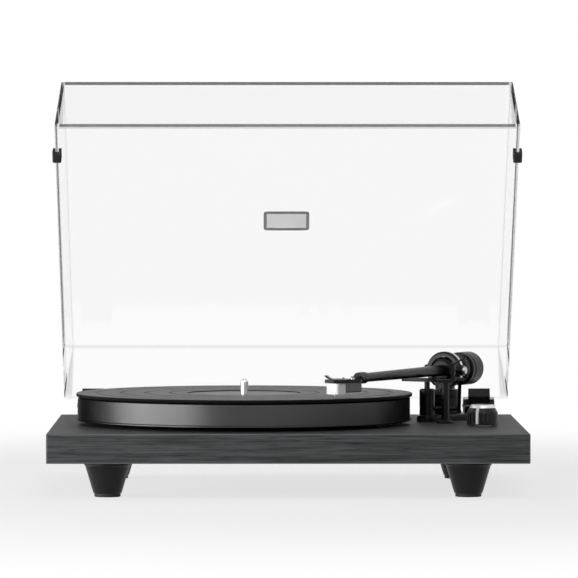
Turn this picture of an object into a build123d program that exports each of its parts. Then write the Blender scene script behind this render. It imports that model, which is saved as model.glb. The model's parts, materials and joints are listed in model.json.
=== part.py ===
"""Belt-drive record player: plinth, platter drive, gimballed arm and hinged clear lid.

Millimetres. X runs to the right, Y to the back and Z up from the surface that the feet stand on.
The lid is held part open and the arm hovers over the outer part of the platter.
"""
import os
from math import cos, radians, sin

from build123d import *

os.makedirs("parts", exist_ok=True)

# Driving dimensions of the plinth
PLINTH_W = 420.0
PLINTH_D = 348.0
PLINTH_T = 26.0
PLINTH_EDGE = 1.0
FOOT_H = 31.0
PLINTH_FRONT_Y = -196.4  # centres the plinth and the open lid on the origin
PLINTH_TOP = FOOT_H + PLINTH_T
PLINTH_BACK_Y = PLINTH_FRONT_Y + PLINTH_D
PLINTH_Y = PLINTH_FRONT_Y + PLINTH_D / 2

# Feet
FOOT_X = 157.8
FOOT_INSET_Y = 42.0
FOOT_COLLAR_R = 20.5
FOOT_COLLAR_H = 4.0
FOOT_TIP_R = 12.0
PAD_R = 11.5
PAD_H = 3.0
FOOT_SCREW_R = 2.0
FOOT_SCREW_HEAD_R = 4.0
FOOT_RECESS_R = 6.5
FOOT_RECESS_TOP = 14.0
FOOT_SCREW_DEPTH = 16.0
SCREW_GAP = 0.1

# Platter and its bearing
SPINDLE_X = -38.5
SPINDLE_Y = PLINTH_FRONT_Y + 172.0
SPINDLE_R = 3.55
SHAFT_R = 4.0
SPINDLE_TOP = PLINTH_TOP + 41.0
RUNNING_GAP = 0.05
PLATTER_R = 149.0
PLATTER_LIP_R = 149.8
PLATTER_BOTTOM = PLINTH_TOP + 3.7
PLATTER_TOP = PLINTH_TOP + 25.5
PLATTER_RIM_T = 12.0
PLATTER_WEB_Z = PLINTH_TOP + 19.0
MAT_R = 150.9
MAT_TOP = PLINTH_TOP + 28.2
MAT_LABEL_R = 51.0
MAT_LABEL_DEPTH = 0.8
MAT_GROOVES = 4
SHAFT_TOP = MAT_TOP - MAT_LABEL_DEPTH
SUB_PLATTER_R = 62.0
SUB_PLATTER_BOTTOM = PLINTH_TOP + 5.5
BEARING_R = 8.0
BEARING_BOTTOM = FOOT_H + 3.0
BEARING_TOP = PLINTH_TOP + 9.0
BALL_R = 2.0

# Motor and belt
MOTOR_X = SPINDLE_X - 73.0
MOTOR_Y = SPINDLE_Y + 61.0
MOTOR_R = 17.0
MOTOR_BOTTOM = FOOT_H + 3.0
MOTOR_PLATE_Z = FOOT_H + 17.0
MOTOR_WEB = 5.0
MOTOR_POCKET_R = 19.0
MOTOR_SCREW_X_HALF = 21.0
PULLEY_R = 6.2
PULLEY_STEP_R = 8.4
BELT_GAP = 0.3
BELT_T = 0.8
BELT_H = 6.0
BELT_Z = PLINTH_TOP + 7.0

# Speed selector
SELECTOR_X = 174.0
SELECTOR_Y = PLINTH_FRONT_Y + 135.0
KNOB_R = 13.8
KNOB_TOP_R = 10.2
KNOB_H = 18.0
KNOB_SHOULDER = 6.5
KNOB_GAP = 1.0
KNOB_FLUTES = 24

# Tonearm: local x runs from the pivot to the headshell
ARM_X = 145.0
ARM_Y = SPINDLE_Y + 84.0
ARM_Z = PLINTH_TOP + 45.0
ARM_ANGLE = 25.2  # degrees left of straight ahead
PARK_ANGLE = 2.0
ARM_TUBE_END = 192.0
HEADSHELL_ANGLE = 22.0
STYLUS_REACH = 28.0
GIMBAL_R = 17.0
GIMBAL_BORE = 12.6
GIMBAL_DEPTH = 9.0
PILLAR_R = 13.0
PILLAR_TOP = PLINTH_TOP + 27.5
TUBE_R = 5.0
TUBE_TIP_R = 4.0
TUBE_BORE = 3.0
WEIGHT_R = 15.2
WEIGHT_FRONT = -31.0
WEIGHT_BACK = -57.0
LIFT_REACH = 50.0
LIFT_ANGLE = 21.0
REST_REACH = 75.0

# Lid: local y and z are measured from the hinge axis with the lid closed
LID_OPEN = 47.3
HINGE_Y = PLINTH_BACK_Y + 11.4
HINGE_Z = PLINTH_TOP + 8.0
HINGE_X = 180.0
LID_W = 414.0
LID_L = 344.5
LID_H = 65.0
LID_WALL = 3.0
LID_RIM_Y = -11.8
LID_RIM_Z = -4.0
LID_SIDE_DRAFT = 4.5
LID_FRONT_DRAFT = 5.0
LID_BACK_DRAFT = 4.6


def save(part, name):
    """Label a finished piece and write its file."""
    part.label = name
    export_step(part, f"parts/{name}.step")


def upright(x, y, z=0.0):
    """Vertical plane through a vertical axis: sketch x is the radius and sketch y the height."""
    return Plane(origin=(x, y, z), x_dir=(1, 0, 0), z_dir=(0, -1, 0))


def vertical(x, y):
    """Vertical axis through a place on the plinth."""
    return Axis((x, y, 0), (0, 0, 1))


def arm_place(reach, angle):
    """Place on the plinth, seen from the arm pivot, at an angle left of straight ahead."""
    return (ARM_X - reach * sin(radians(angle)), ARM_Y - reach * cos(radians(angle)))


def ahead(angle):
    """Level direction at an angle left of straight ahead."""
    return (-sin(radians(angle)), -cos(radians(angle)), 0)


ARM_DIR = ahead(ARM_ANGLE)
ARM_PLANE = Plane(origin=(ARM_X, ARM_Y, ARM_Z), x_dir=ARM_DIR, z_dir=(0, 0, 1))
ARM_AXIS = Axis((ARM_X, ARM_Y, ARM_Z), ARM_DIR)
ARM_SIDE = Plane(ARM_PLANE.origin, x_dir=ARM_PLANE.x_dir, z_dir=-ARM_PLANE.y_dir)
ARM_CROSS = Plane(ARM_PLANE.origin, x_dir=ARM_PLANE.y_dir, z_dir=ARM_PLANE.x_dir)
SHELL_X, SHELL_Y = arm_place(ARM_TUBE_END, ARM_ANGLE)
SHELL_PLANE = Plane(
    origin=(SHELL_X, SHELL_Y, 0), x_dir=ahead(ARM_ANGLE + HEADSHELL_ANGLE), z_dir=(0, 0, 1)
)
LID_PLANE = Plane(origin=(0, HINGE_Y, HINGE_Z)).rotated((-LID_OPEN, 0, 0))
LIFT_X, LIFT_Y = arm_place(LIFT_REACH, LIFT_ANGLE)
REST_X, REST_Y = arm_place(REST_REACH, PARK_ANGLE)
FOOT_FRONT_Y = PLINTH_FRONT_Y + FOOT_INSET_Y
FOOT_BACK_Y = PLINTH_BACK_Y - FOOT_INSET_Y
FOOT_PLACES = {
    "foot_front_left": (-FOOT_X, FOOT_FRONT_Y),
    "foot_front_right": (FOOT_X, FOOT_FRONT_Y),
    "foot_back_left": (-FOOT_X, FOOT_BACK_Y),
    "foot_back_right": (FOOT_X, FOOT_BACK_Y),
}

# Plinth pockets and holes
COVER_X = -10.0
COVER_Y = PLINTH_BACK_Y - 80.0
COVER_W = 262.0
COVER_D = 140.0
COVER_T = 2.0
BOARD_POCKET_X = 50.0
BOARD_POCKET_Y = PLINTH_BACK_Y - 46.0
BOARD_POCKET_W = 120.0
BOARD_POCKET_D = 68.0
BOARD_POCKET_TOP = PLINTH_TOP - 6.0
ARM_STEM_R = 10.0
ARM_NUT_POCKET_R = 18.0
ARM_NUT_TOP = FOOT_H + 9.0
SELECTOR_POCKET_R = 17.0
SELECTOR_POCKET_TOP = PLINTH_TOP - 8.0
SELECTOR_BUSH_R = 4.5
TERMINAL_X = BOARD_POCKET_X
TERMINAL_W = 96.0
TERMINAL_H = 19.0
TERMINAL_T = 1.5
TERMINAL_Z = FOOT_H + PLINTH_T / 2
SOCKET_R = 5.0
RCA_X = (TERMINAL_X - 32.0, TERMINAL_X - 14.0)
EARTH_X = TERMINAL_X + 8.0
INLET_X = TERMINAL_X + 32.0
INLET_W = 11.0
INLET_H = 10.0
BACK_PLANE = Plane(origin=(0, PLINTH_BACK_Y, 0), x_dir=(-1, 0, 0), z_dir=(0, 1, 0))
CHANNEL_W = 9.0
CHANNEL_TOP = FOOT_H + 10.0
CHANNEL_STEP_Y = 40.0

with BuildPart() as plinth:
    with BuildSketch(Plane.XY.offset(FOOT_H)):
        with Locations((0, PLINTH_Y)):
            Rectangle(PLINTH_W, PLINTH_D)
    extrude(amount=PLINTH_T)
    fillet(plinth.edges(), PLINTH_EDGE)
    with BuildSketch(Plane.XY.offset(FOOT_H)):
        with Locations((COVER_X, COVER_Y)):
            RectangleRounded(COVER_W + 1, COVER_D + 1, 6)
    extrude(amount=COVER_T, mode=Mode.SUBTRACT)
    with BuildSketch(Plane.XY.offset(FOOT_H)):
        with Locations((MOTOR_X, MOTOR_Y)):
            SlotCenterToCenter(2 * MOTOR_SCREW_X_HALF, 14)
            Circle(MOTOR_POCKET_R)
    extrude(amount=PLINTH_T - MOTOR_WEB, mode=Mode.SUBTRACT)
    with BuildSketch(Plane.XY.offset(FOOT_H)):
        with Locations((BOARD_POCKET_X, BOARD_POCKET_Y)):
            RectangleRounded(BOARD_POCKET_W, BOARD_POCKET_D, 5)
    extrude(amount=BOARD_POCKET_TOP - FOOT_H, mode=Mode.SUBTRACT)
    with BuildSketch(Plane.XY.offset(FOOT_H)):
        with Locations((ARM_X, ARM_Y)):
            Circle(ARM_NUT_POCKET_R)
    extrude(amount=ARM_NUT_TOP - FOOT_H, mode=Mode.SUBTRACT)
    with BuildSketch(Plane.XY.offset(FOOT_H)):
        with Locations((SELECTOR_X, SELECTOR_Y)):
            Circle(SELECTOR_POCKET_R)
    extrude(amount=SELECTOR_POCKET_TOP - FOOT_H, mode=Mode.SUBTRACT)
    with BuildSketch(Plane.XY.offset(FOOT_H)):
        with BuildLine():
            Polyline(
                (MOTOR_X, MOTOR_Y),
                (BOARD_POCKET_X, BOARD_POCKET_Y),
                (BOARD_POCKET_X, CHANNEL_STEP_Y),
                (SELECTOR_X, SELECTOR_Y),
            )
        trace(line_width=CHANNEL_W)
    extrude(amount=CHANNEL_TOP - FOOT_H, mode=Mode.SUBTRACT)
    with BuildSketch(Plane.XY.offset(FOOT_H)):
        with Locations((SPINDLE_X, SPINDLE_Y)):
            Circle(BEARING_R + SCREW_GAP)
        with Locations((ARM_X, ARM_Y)):
            Circle(ARM_STEM_R + SCREW_GAP)
        with Locations((SELECTOR_X, SELECTOR_Y)):
            Circle(SELECTOR_BUSH_R + SCREW_GAP)
        with Locations((MOTOR_X, MOTOR_Y)):
            Circle(PULLEY_STEP_R + 1.5)
    extrude(amount=PLINTH_T, mode=Mode.SUBTRACT)
    with BuildSketch(Plane.XY.offset(FOOT_H)):
        with Locations(*FOOT_PLACES.values()):
            Circle(FOOT_SCREW_R + SCREW_GAP)
    extrude(amount=FOOT_SCREW_DEPTH + 1, mode=Mode.SUBTRACT)
    with BuildSketch(BACK_PLANE):
        with Locations((-TERMINAL_X, TERMINAL_Z)):
            RectangleRounded(TERMINAL_W + 0.6, TERMINAL_H + 0.6, 2)
    extrude(amount=-TERMINAL_T, mode=Mode.SUBTRACT)
    with BuildSketch(BACK_PLANE):
        with Locations(*((-x, TERMINAL_Z) for x in (*RCA_X, EARTH_X))):
            Circle(SOCKET_R + 0.5)
        with Locations((-INLET_X, TERMINAL_Z)):
            Rectangle(INLET_W + 1, INLET_H + 1)
    extrude(amount=-20, mode=Mode.SUBTRACT)
save(plinth.part, "plinth")

# Feet: turned cones with a collar, a screw recess and a rubber pad below
for foot_name, (foot_x, foot_y) in FOOT_PLACES.items():
    with BuildPart() as foot:
        with BuildSketch(upright(foot_x, foot_y)):
            with BuildLine():
                Polyline(
                    (FOOT_SCREW_R + SCREW_GAP, FOOT_H),
                    (FOOT_COLLAR_R, FOOT_H),
                    (FOOT_COLLAR_R, FOOT_H - FOOT_COLLAR_H + 1),
                    (FOOT_COLLAR_R - 1, FOOT_H - FOOT_COLLAR_H),
                    (FOOT_TIP_R + 0.6, PAD_H + 1),
                    (FOOT_TIP_R, PAD_H),
                    (FOOT_RECESS_R, PAD_H),
                    (FOOT_RECESS_R, FOOT_RECESS_TOP),
                    (FOOT_SCREW_R + SCREW_GAP, FOOT_RECESS_TOP),
                    close=True,
                )
            make_face()
        revolve(axis=vertical(foot_x, foot_y))
    save(foot.part, foot_name)

with BuildPart() as foot_pads:
    with BuildSketch():
        with Locations(*FOOT_PLACES.values()):
            Circle(PAD_R)
            Circle(FOOT_RECESS_R, mode=Mode.SUBTRACT)
    extrude(amount=PAD_H)
    fillet(foot_pads.edges().group_by(Axis.Z)[0].group_by(SortBy.RADIUS)[-1], 0.8)
save(foot_pads.part, "foot_pads")

with BuildPart() as foot_screws:
    with BuildSketch(Plane.XY.offset(FOOT_RECESS_TOP)):
        with Locations(*FOOT_PLACES.values()):
            Circle(FOOT_SCREW_R)
    extrude(amount=FOOT_H + FOOT_SCREW_DEPTH - FOOT_RECESS_TOP)
    with BuildSketch(Plane.XY.offset(FOOT_RECESS_TOP)):
        with Locations(*FOOT_PLACES.values()):
            Circle(FOOT_SCREW_HEAD_R)
    extrude(amount=-3)
    chamfer(foot_screws.edges().group_by(Axis.Z)[0], 1)
save(foot_screws.part, "foot_screws")

# Bottom cover with its screws
COVER_SCREW_INSET = 6.0
COVER_SCREW_R = 1.5
COVER_SCREW_HEAD_R = 3.0
with BuildPart() as bottom_cover:
    with BuildSketch(Plane.XY.offset(FOOT_H)):
        with Locations((COVER_X, COVER_Y)):
            RectangleRounded(COVER_W, COVER_D, 5.5)
            with GridLocations(COVER_W - 2 * COVER_SCREW_INSET, COVER_D - 2 * COVER_SCREW_INSET, 2, 2):
                Circle(COVER_SCREW_R + SCREW_GAP, mode=Mode.SUBTRACT)
        with Locations((MOTOR_X, MOTOR_Y)):
            with GridLocations(0, 7, 1, 4):
                SlotOverall(26, 3, mode=Mode.SUBTRACT)
    extrude(amount=COVER_T)
save(bottom_cover.part, "bottom_cover")

with BuildPart() as cover_screws:
    with BuildSketch(Plane.XY.offset(FOOT_H)):
        with Locations((COVER_X, COVER_Y)):
            with GridLocations(COVER_W - 2 * COVER_SCREW_INSET, COVER_D - 2 * COVER_SCREW_INSET, 2, 2):
                Circle(COVER_SCREW_HEAD_R)
    extrude(amount=-1.6)
    fillet(cover_screws.edges().group_by(Axis.Z)[0], 1)
    with BuildSketch(Plane.XY.offset(FOOT_H)):
        with Locations((COVER_X, COVER_Y)):
            with GridLocations(COVER_W - 2 * COVER_SCREW_INSET, COVER_D - 2 * COVER_SCREW_INSET, 2, 2):
                Circle(COVER_SCREW_R)
    extrude(amount=COVER_T)
save(cover_screws.part, "cover_screws")

# Main bearing: flanged sleeve, thrust plug and ball
PLUG_TOP = BEARING_BOTTOM + 5.0
with BuildPart() as bearing_housing:
    with BuildSketch(upright(SPINDLE_X, SPINDLE_Y)):
        with BuildLine():
            Polyline(
                (SHAFT_R + RUNNING_GAP, BEARING_BOTTOM),
                (BEARING_R, BEARING_BOTTOM),
                (BEARING_R, PLINTH_TOP),
                (17, PLINTH_TOP),
                (17, PLINTH_TOP + 2),
                (16, PLINTH_TOP + 3),
                (BEARING_R, PLINTH_TOP + 3),
                (BEARING_R - 1.5, BEARING_TOP),
                (SHAFT_R + RUNNING_GAP, BEARING_TOP),
                close=True,
            )
        make_face()
    revolve(axis=vertical(SPINDLE_X, SPINDLE_Y))
save(bearing_housing.part, "bearing_housing")

with BuildPart() as thrust_plug:
    with BuildSketch(Plane.XY.offset(BEARING_BOTTOM)):
        with Locations((SPINDLE_X, SPINDLE_Y)):
            RegularPolygon(BEARING_R - 0.6, 6)
    extrude(amount=-2.5)
    with BuildSketch(Plane.XY.offset(BEARING_BOTTOM)):
        with Locations((SPINDLE_X, SPINDLE_Y)):
            Circle(SHAFT_R)
    extrude(amount=PLUG_TOP - BEARING_BOTTOM)
save(thrust_plug.part, "thrust_plug")

with BuildPart() as thrust_ball:
    with Locations((SPINDLE_X, SPINDLE_Y, PLUG_TOP + BALL_R)):
        Sphere(BALL_R)
save(thrust_ball.part, "thrust_ball")

# Spindle, hub disc, platter and mat turn together
SPINDLE_BOTTOM = PLUG_TOP + 2 * BALL_R
SEAT_GAP = 0.01
SPINDLE_NOSE_R = 3.2
with BuildPart() as spindle:
    with BuildSketch(Plane.XY.offset(SPINDLE_BOTTOM)):
        with Locations((SPINDLE_X, SPINDLE_Y)):
            Circle(SHAFT_R)
    extrude(amount=SHAFT_TOP - SPINDLE_BOTTOM)
    with BuildSketch(Plane.XY.offset(SHAFT_TOP)):
        with Locations((SPINDLE_X, SPINDLE_Y)):
            Circle(SPINDLE_R)
    extrude(amount=SPINDLE_TOP - SHAFT_TOP)
    fillet(spindle.edges().group_by(Axis.Z)[-1], SPINDLE_NOSE_R)
save(spindle.part, "spindle")

HUB_R = 14.0
SUB_WEB_T = 4.0
SUB_RIM_T = 4.0
with BuildPart() as sub_platter:
    with BuildSketch(upright(SPINDLE_X, SPINDLE_Y)):
        with BuildLine():
            Polyline(
                (SHAFT_R + SEAT_GAP, PLATTER_WEB_Z),
                (SUB_PLATTER_R, PLATTER_WEB_Z),
                (SUB_PLATTER_R, SUB_PLATTER_BOTTOM),
                (SUB_PLATTER_R - SUB_RIM_T, SUB_PLATTER_BOTTOM),
                (SUB_PLATTER_R - SUB_RIM_T, PLATTER_WEB_Z - SUB_WEB_T),
                (HUB_R, PLATTER_WEB_Z - SUB_WEB_T),
                (HUB_R, BEARING_TOP + 0.5),
                (SHAFT_R + SEAT_GAP, BEARING_TOP + 0.5),
                close=True,
            )
        make_face()
    revolve(axis=vertical(SPINDLE_X, SPINDLE_Y))
    with BuildSketch(Plane.XY.offset(PLATTER_WEB_Z)):
        with Locations((SPINDLE_X, SPINDLE_Y)):
            with PolarLocations((HUB_R + SUB_PLATTER_R - SUB_RIM_T) / 2, 6):
                Circle(12)
    extrude(amount=-SUB_WEB_T, mode=Mode.SUBTRACT)
save(sub_platter.part, "sub_platter")

GUSSETS = 12
GUSSET_INNER_R = 107.0
GUSSET_DEPTH = 6.0
PLATTER_SIDE_TOP = PLATTER_TOP - 1.7
RIM_INNER_R = PLATTER_R - PLATTER_RIM_T
with BuildPart() as platter:
    with BuildSketch(upright(SPINDLE_X, SPINDLE_Y)):
        with BuildLine():
            Polyline(
                (SHAFT_R + RUNNING_GAP, PLATTER_WEB_Z),
                (RIM_INNER_R, PLATTER_WEB_Z),
                (RIM_INNER_R, PLATTER_BOTTOM),
                (PLATTER_LIP_R - 0.6, PLATTER_BOTTOM),
                (PLATTER_LIP_R, PLATTER_BOTTOM + 0.6),
                (PLATTER_LIP_R, PLATTER_BOTTOM + 1.4),
                (PLATTER_R, PLATTER_BOTTOM + 2.2),
                (PLATTER_R, PLATTER_SIDE_TOP),
                (PLATTER_R - 1.7, PLATTER_TOP),
                (SHAFT_R + RUNNING_GAP, PLATTER_TOP),
                close=True,
            )
        make_face()
    revolve(axis=vertical(SPINDLE_X, SPINDLE_Y))
    with BuildSketch(Plane.XY.offset(PLATTER_WEB_Z)):
        with Locations((SPINDLE_X, SPINDLE_Y)):
            with PolarLocations((GUSSET_INNER_R + RIM_INNER_R + 2) / 2, GUSSETS):
                Rectangle(RIM_INNER_R + 2 - GUSSET_INNER_R, 3)
    extrude(amount=-GUSSET_DEPTH)
save(platter.part, "platter")

MAT_GROOVE_W = 2.0
MAT_GROOVE_DEPTH = 0.5
MAT_FIRST_GROOVE_R = 66.0
MAT_GROOVE_STEP = 22.0
with BuildPart() as mat:
    with BuildSketch(Plane.XY.offset(PLATTER_TOP)):
        with Locations((SPINDLE_X, SPINDLE_Y)):
            Circle(MAT_R)
            Circle(SHAFT_R + 0.3, mode=Mode.SUBTRACT)
    extrude(amount=MAT_TOP - PLATTER_TOP)
    chamfer(mat.edges().group_by(Axis.Z)[-1].sort_by(SortBy.RADIUS)[-1], 0.5)
    with BuildSketch(Plane.XY.offset(MAT_TOP)):
        with Locations((SPINDLE_X, SPINDLE_Y)):
            Circle(MAT_LABEL_R)
    extrude(amount=-MAT_LABEL_DEPTH, mode=Mode.SUBTRACT)
    with BuildSketch(Plane.XY.offset(MAT_TOP)):
        with Locations((SPINDLE_X, SPINDLE_Y)):
            for groove in reversed(range(MAT_GROOVES)):
                groove_r = MAT_FIRST_GROOVE_R + MAT_GROOVE_STEP * groove
                Circle(groove_r + MAT_GROOVE_W)
                Circle(groove_r, mode=Mode.SUBTRACT)
    extrude(amount=-MAT_GROOVE_DEPTH, mode=Mode.SUBTRACT)
save(mat.part, "mat")

# Motor on rubber grommets, stepped pulley and flat belt
MOTOR_SHAFT_R = 1.0
MOTOR_PLATE_T = 2.0
GROMMET_R = 4.0
MOTOR_SCREW_R = 1.6
MOTOR_TOP = PLINTH_TOP - MOTOR_WEB
with BuildPart() as motor:
    with BuildSketch(Plane.XY.offset(MOTOR_BOTTOM)):
        with Locations((MOTOR_X, MOTOR_Y)):
            Circle(MOTOR_R)
    extrude(amount=MOTOR_PLATE_Z - MOTOR_BOTTOM)
    fillet(motor.edges().group_by(Axis.Z)[0], 2)
    with BuildSketch(Plane.XY.offset(MOTOR_PLATE_Z)):
        with Locations((MOTOR_X, MOTOR_Y)):
            SlotCenterToCenter(2 * MOTOR_SCREW_X_HALF, 11)
            Circle(MOTOR_R)
            with GridLocations(2 * MOTOR_SCREW_X_HALF, 0, 2, 1):
                Circle(MOTOR_SCREW_R + SCREW_GAP, mode=Mode.SUBTRACT)
    extrude(amount=MOTOR_PLATE_T)
    with BuildSketch(Plane.XY.offset(MOTOR_PLATE_Z + MOTOR_PLATE_T)):
        with Locations((MOTOR_X, MOTOR_Y)):
            Circle(5)
    extrude(amount=MOTOR_TOP - MOTOR_PLATE_Z - MOTOR_PLATE_T)
    with BuildSketch(Plane.XY.offset(MOTOR_TOP)):
        with Locations((MOTOR_X, MOTOR_Y)):
            Circle(MOTOR_SHAFT_R + RUNNING_GAP)
    extrude(amount=-8, mode=Mode.SUBTRACT)
save(motor.part, "motor")

with BuildPart() as motor_grommets:
    with BuildSketch(Plane.XY.offset(MOTOR_PLATE_Z + MOTOR_PLATE_T)):
        with Locations((MOTOR_X, MOTOR_Y)):
            with GridLocations(2 * MOTOR_SCREW_X_HALF, 0, 2, 1):
                Circle(GROMMET_R)
                Circle(MOTOR_SCREW_R + SCREW_GAP, mode=Mode.SUBTRACT)
    extrude(amount=MOTOR_TOP - MOTOR_PLATE_Z - MOTOR_PLATE_T)
save(motor_grommets.part, "motor_grommets")

with BuildPart() as motor_screws:
    with BuildSketch(Plane.XY.offset(MOTOR_PLATE_Z)):
        with Locations((MOTOR_X, MOTOR_Y)):
            with GridLocations(2 * MOTOR_SCREW_X_HALF, 0, 2, 1):
                Circle(3)
    extrude(amount=-2)
    with BuildSketch(Plane.XY.offset(MOTOR_PLATE_Z)):
        with Locations((MOTOR_X, MOTOR_Y)):
            with GridLocations(2 * MOTOR_SCREW_X_HALF, 0, 2, 1):
                Circle(MOTOR_SCREW_R)
    extrude(amount=MOTOR_TOP - MOTOR_PLATE_Z)
save(motor_screws.part, "motor_screws")

PULLEY_BOTTOM = PLINTH_TOP + 5.5
PULLEY_TOP = PLINTH_TOP + 16.5
with BuildPart() as motor_pulley:
    with BuildSketch(upright(MOTOR_X, MOTOR_Y)):
        with BuildLine():
            Polyline(
                (0, MOTOR_TOP - 7),
                (MOTOR_SHAFT_R, MOTOR_TOP - 7),
                (MOTOR_SHAFT_R, PULLEY_BOTTOM),
                (PULLEY_STEP_R, PULLEY_BOTTOM),
                (PULLEY_STEP_R, PULLEY_BOTTOM + 1),
                (PULLEY_R, PULLEY_BOTTOM + 1),
                (PULLEY_R, BELT_Z + BELT_H + 0.6),
                (PULLEY_STEP_R, BELT_Z + BELT_H + 1.2),
                (PULLEY_STEP_R, PULLEY_TOP),
                (0, PULLEY_TOP),
                close=True,
            )
        make_face()
    revolve(axis=vertical(MOTOR_X, MOTOR_Y))
save(motor_pulley.part, "motor_pulley")

with BuildPart() as drive_belt:
    with BuildSketch(Plane.XY.offset(BELT_Z)):
        with Locations((SPINDLE_X, SPINDLE_Y)):
            Circle(SUB_PLATTER_R + BELT_GAP + BELT_T)
        with Locations((MOTOR_X, MOTOR_Y)):
            Circle(PULLEY_R + BELT_GAP + BELT_T)
        make_hull()
    extrude(amount=BELT_H)
    with BuildSketch(Plane.XY.offset(BELT_Z)):
        with Locations((SPINDLE_X, SPINDLE_Y)):
            Circle(SUB_PLATTER_R + BELT_GAP)
        with Locations((MOTOR_X, MOTOR_Y)):
            Circle(PULLEY_R + BELT_GAP)
        make_hull()
    extrude(amount=BELT_H, mode=Mode.SUBTRACT)
save(drive_belt.part, "drive_belt")

# Rotary speed selector: switch below, nut on the plinth, ribbed knob over it
SWITCH_R = 14.0
SELECTOR_SHAFT_R = 3.0
SWITCH_BOTTOM = SELECTOR_POCKET_TOP - 12.0
NUT_T = 2.5
KNOB_BOTTOM = PLINTH_TOP + KNOB_GAP
KNOB_TOP = KNOB_BOTTOM + KNOB_H
KNOB_CAVITY_R = 10.0
KNOB_HUB_R = 5.2
KNOB_CAVITY_TOP = KNOB_BOTTOM + 12.0
FLUTE_R = 0.9
with BuildPart() as selector_switch:
    with BuildSketch(Plane.XY.offset(SWITCH_BOTTOM)):
        with Locations((SELECTOR_X, SELECTOR_Y)):
            Circle(SWITCH_R)
    extrude(amount=SELECTOR_POCKET_TOP - SWITCH_BOTTOM)
    with BuildSketch(Plane.XY.offset(SWITCH_BOTTOM)):
        with Locations((SELECTOR_X, SELECTOR_Y)):
            with PolarLocations(10, 6):
                Rectangle(1, 2.4)
    extrude(amount=-4)
    with BuildSketch(Plane.XY.offset(SELECTOR_POCKET_TOP)):
        with Locations((SELECTOR_X, SELECTOR_Y)):
            Circle(SELECTOR_BUSH_R)
    extrude(amount=PLINTH_TOP + NUT_T - SELECTOR_POCKET_TOP)
    with BuildSketch(Plane.XY.offset(PLINTH_TOP + NUT_T)):
        with Locations((SELECTOR_X, SELECTOR_Y)):
            Circle(SELECTOR_SHAFT_R + RUNNING_GAP)
    extrude(amount=-(PLINTH_TOP + NUT_T - SELECTOR_POCKET_TOP + 6), mode=Mode.SUBTRACT)
save(selector_switch.part, "selector_switch")

with BuildPart() as selector_nut:
    with BuildSketch(Plane.XY.offset(PLINTH_TOP)):
        with Locations((SELECTOR_X, SELECTOR_Y)):
            RegularPolygon(8, 6)
            Circle(SELECTOR_BUSH_R + SEAT_GAP, mode=Mode.SUBTRACT)
    extrude(amount=NUT_T)
save(selector_nut.part, "selector_nut")

with BuildPart() as selector_shaft:
    with BuildSketch(Plane.XY.offset(SELECTOR_POCKET_TOP - 5)):
        with Locations((SELECTOR_X, SELECTOR_Y)):
            Circle(SELECTOR_SHAFT_R)
    extrude(amount=KNOB_TOP - 4 - (SELECTOR_POCKET_TOP - 5))
save(selector_shaft.part, "selector_shaft")

with BuildPart() as selector_knob:
    with BuildSketch(upright(SELECTOR_X, SELECTOR_Y)):
        with BuildLine():
            Polyline(
                (0, KNOB_TOP - 0.6),
                (KNOB_TOP_R - 1.8, KNOB_TOP - 0.6),
                (KNOB_TOP_R - 1.4, KNOB_TOP),
                (KNOB_TOP_R - 0.4, KNOB_TOP),
                (KNOB_TOP_R, KNOB_TOP - 0.4),
                (KNOB_R - 0.2, KNOB_TOP - KNOB_SHOULDER),
                (KNOB_R, KNOB_TOP - KNOB_SHOULDER - 0.6),
                (KNOB_R, KNOB_BOTTOM),
                (KNOB_CAVITY_R, KNOB_BOTTOM),
                (KNOB_CAVITY_R, KNOB_CAVITY_TOP),
                (KNOB_HUB_R, KNOB_CAVITY_TOP),
                (KNOB_HUB_R, KNOB_BOTTOM + 3.5),
                (SELECTOR_SHAFT_R + SEAT_GAP, KNOB_BOTTOM + 3.5),
                (SELECTOR_SHAFT_R + SEAT_GAP, KNOB_TOP - 4 + SEAT_GAP),
                (0, KNOB_TOP - 4 + SEAT_GAP),
                close=True,
            )
        make_face()
    revolve(axis=vertical(SELECTOR_X, SELECTOR_Y))
    with BuildSketch(Plane.XY.offset(KNOB_BOTTOM + 1.5)):
        with Locations((SELECTOR_X, SELECTOR_Y)):
            with PolarLocations(KNOB_R + 0.2, KNOB_FLUTES):
                Circle(FLUTE_R)
    extrude(amount=KNOB_H, mode=Mode.SUBTRACT)
save(selector_knob.part, "selector_knob")

# Control board on short standoffs in its pocket
BOARD_W = 100.0
BOARD_D = 52.0
BOARD_T = 1.6
BOARD_Z = BOARD_POCKET_TOP - 4.0
with BuildPart() as control_board:
    with BuildSketch(Plane.XY.offset(BOARD_Z)):
        with Locations((BOARD_POCKET_X, BOARD_POCKET_Y - 5)):
            RectangleRounded(BOARD_W, BOARD_D, 2)
    extrude(amount=-BOARD_T)
    with BuildSketch(Plane.XY.offset(BOARD_Z)):
        with Locations((BOARD_POCKET_X, BOARD_POCKET_Y - 5)):
            with GridLocations(BOARD_W - 10, BOARD_D - 10, 2, 2):
                Circle(2.5)
    extrude(amount=BOARD_POCKET_TOP - BOARD_Z)
    with BuildSketch(Plane.XY.offset(BOARD_Z - BOARD_T)):
        with Locations((BOARD_POCKET_X - 26, BOARD_POCKET_Y - 8)):
            with GridLocations(11, 12, 2, 2):
                Circle(4)
        with Locations((BOARD_POCKET_X + 10, BOARD_POCKET_Y - 10)):
            Rectangle(18, 9)
        with Locations((BOARD_POCKET_X + 34, BOARD_POCKET_Y - 14)):
            Rectangle(10, 22)
    extrude(amount=-7)
save(control_board.part, "control_board")

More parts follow.
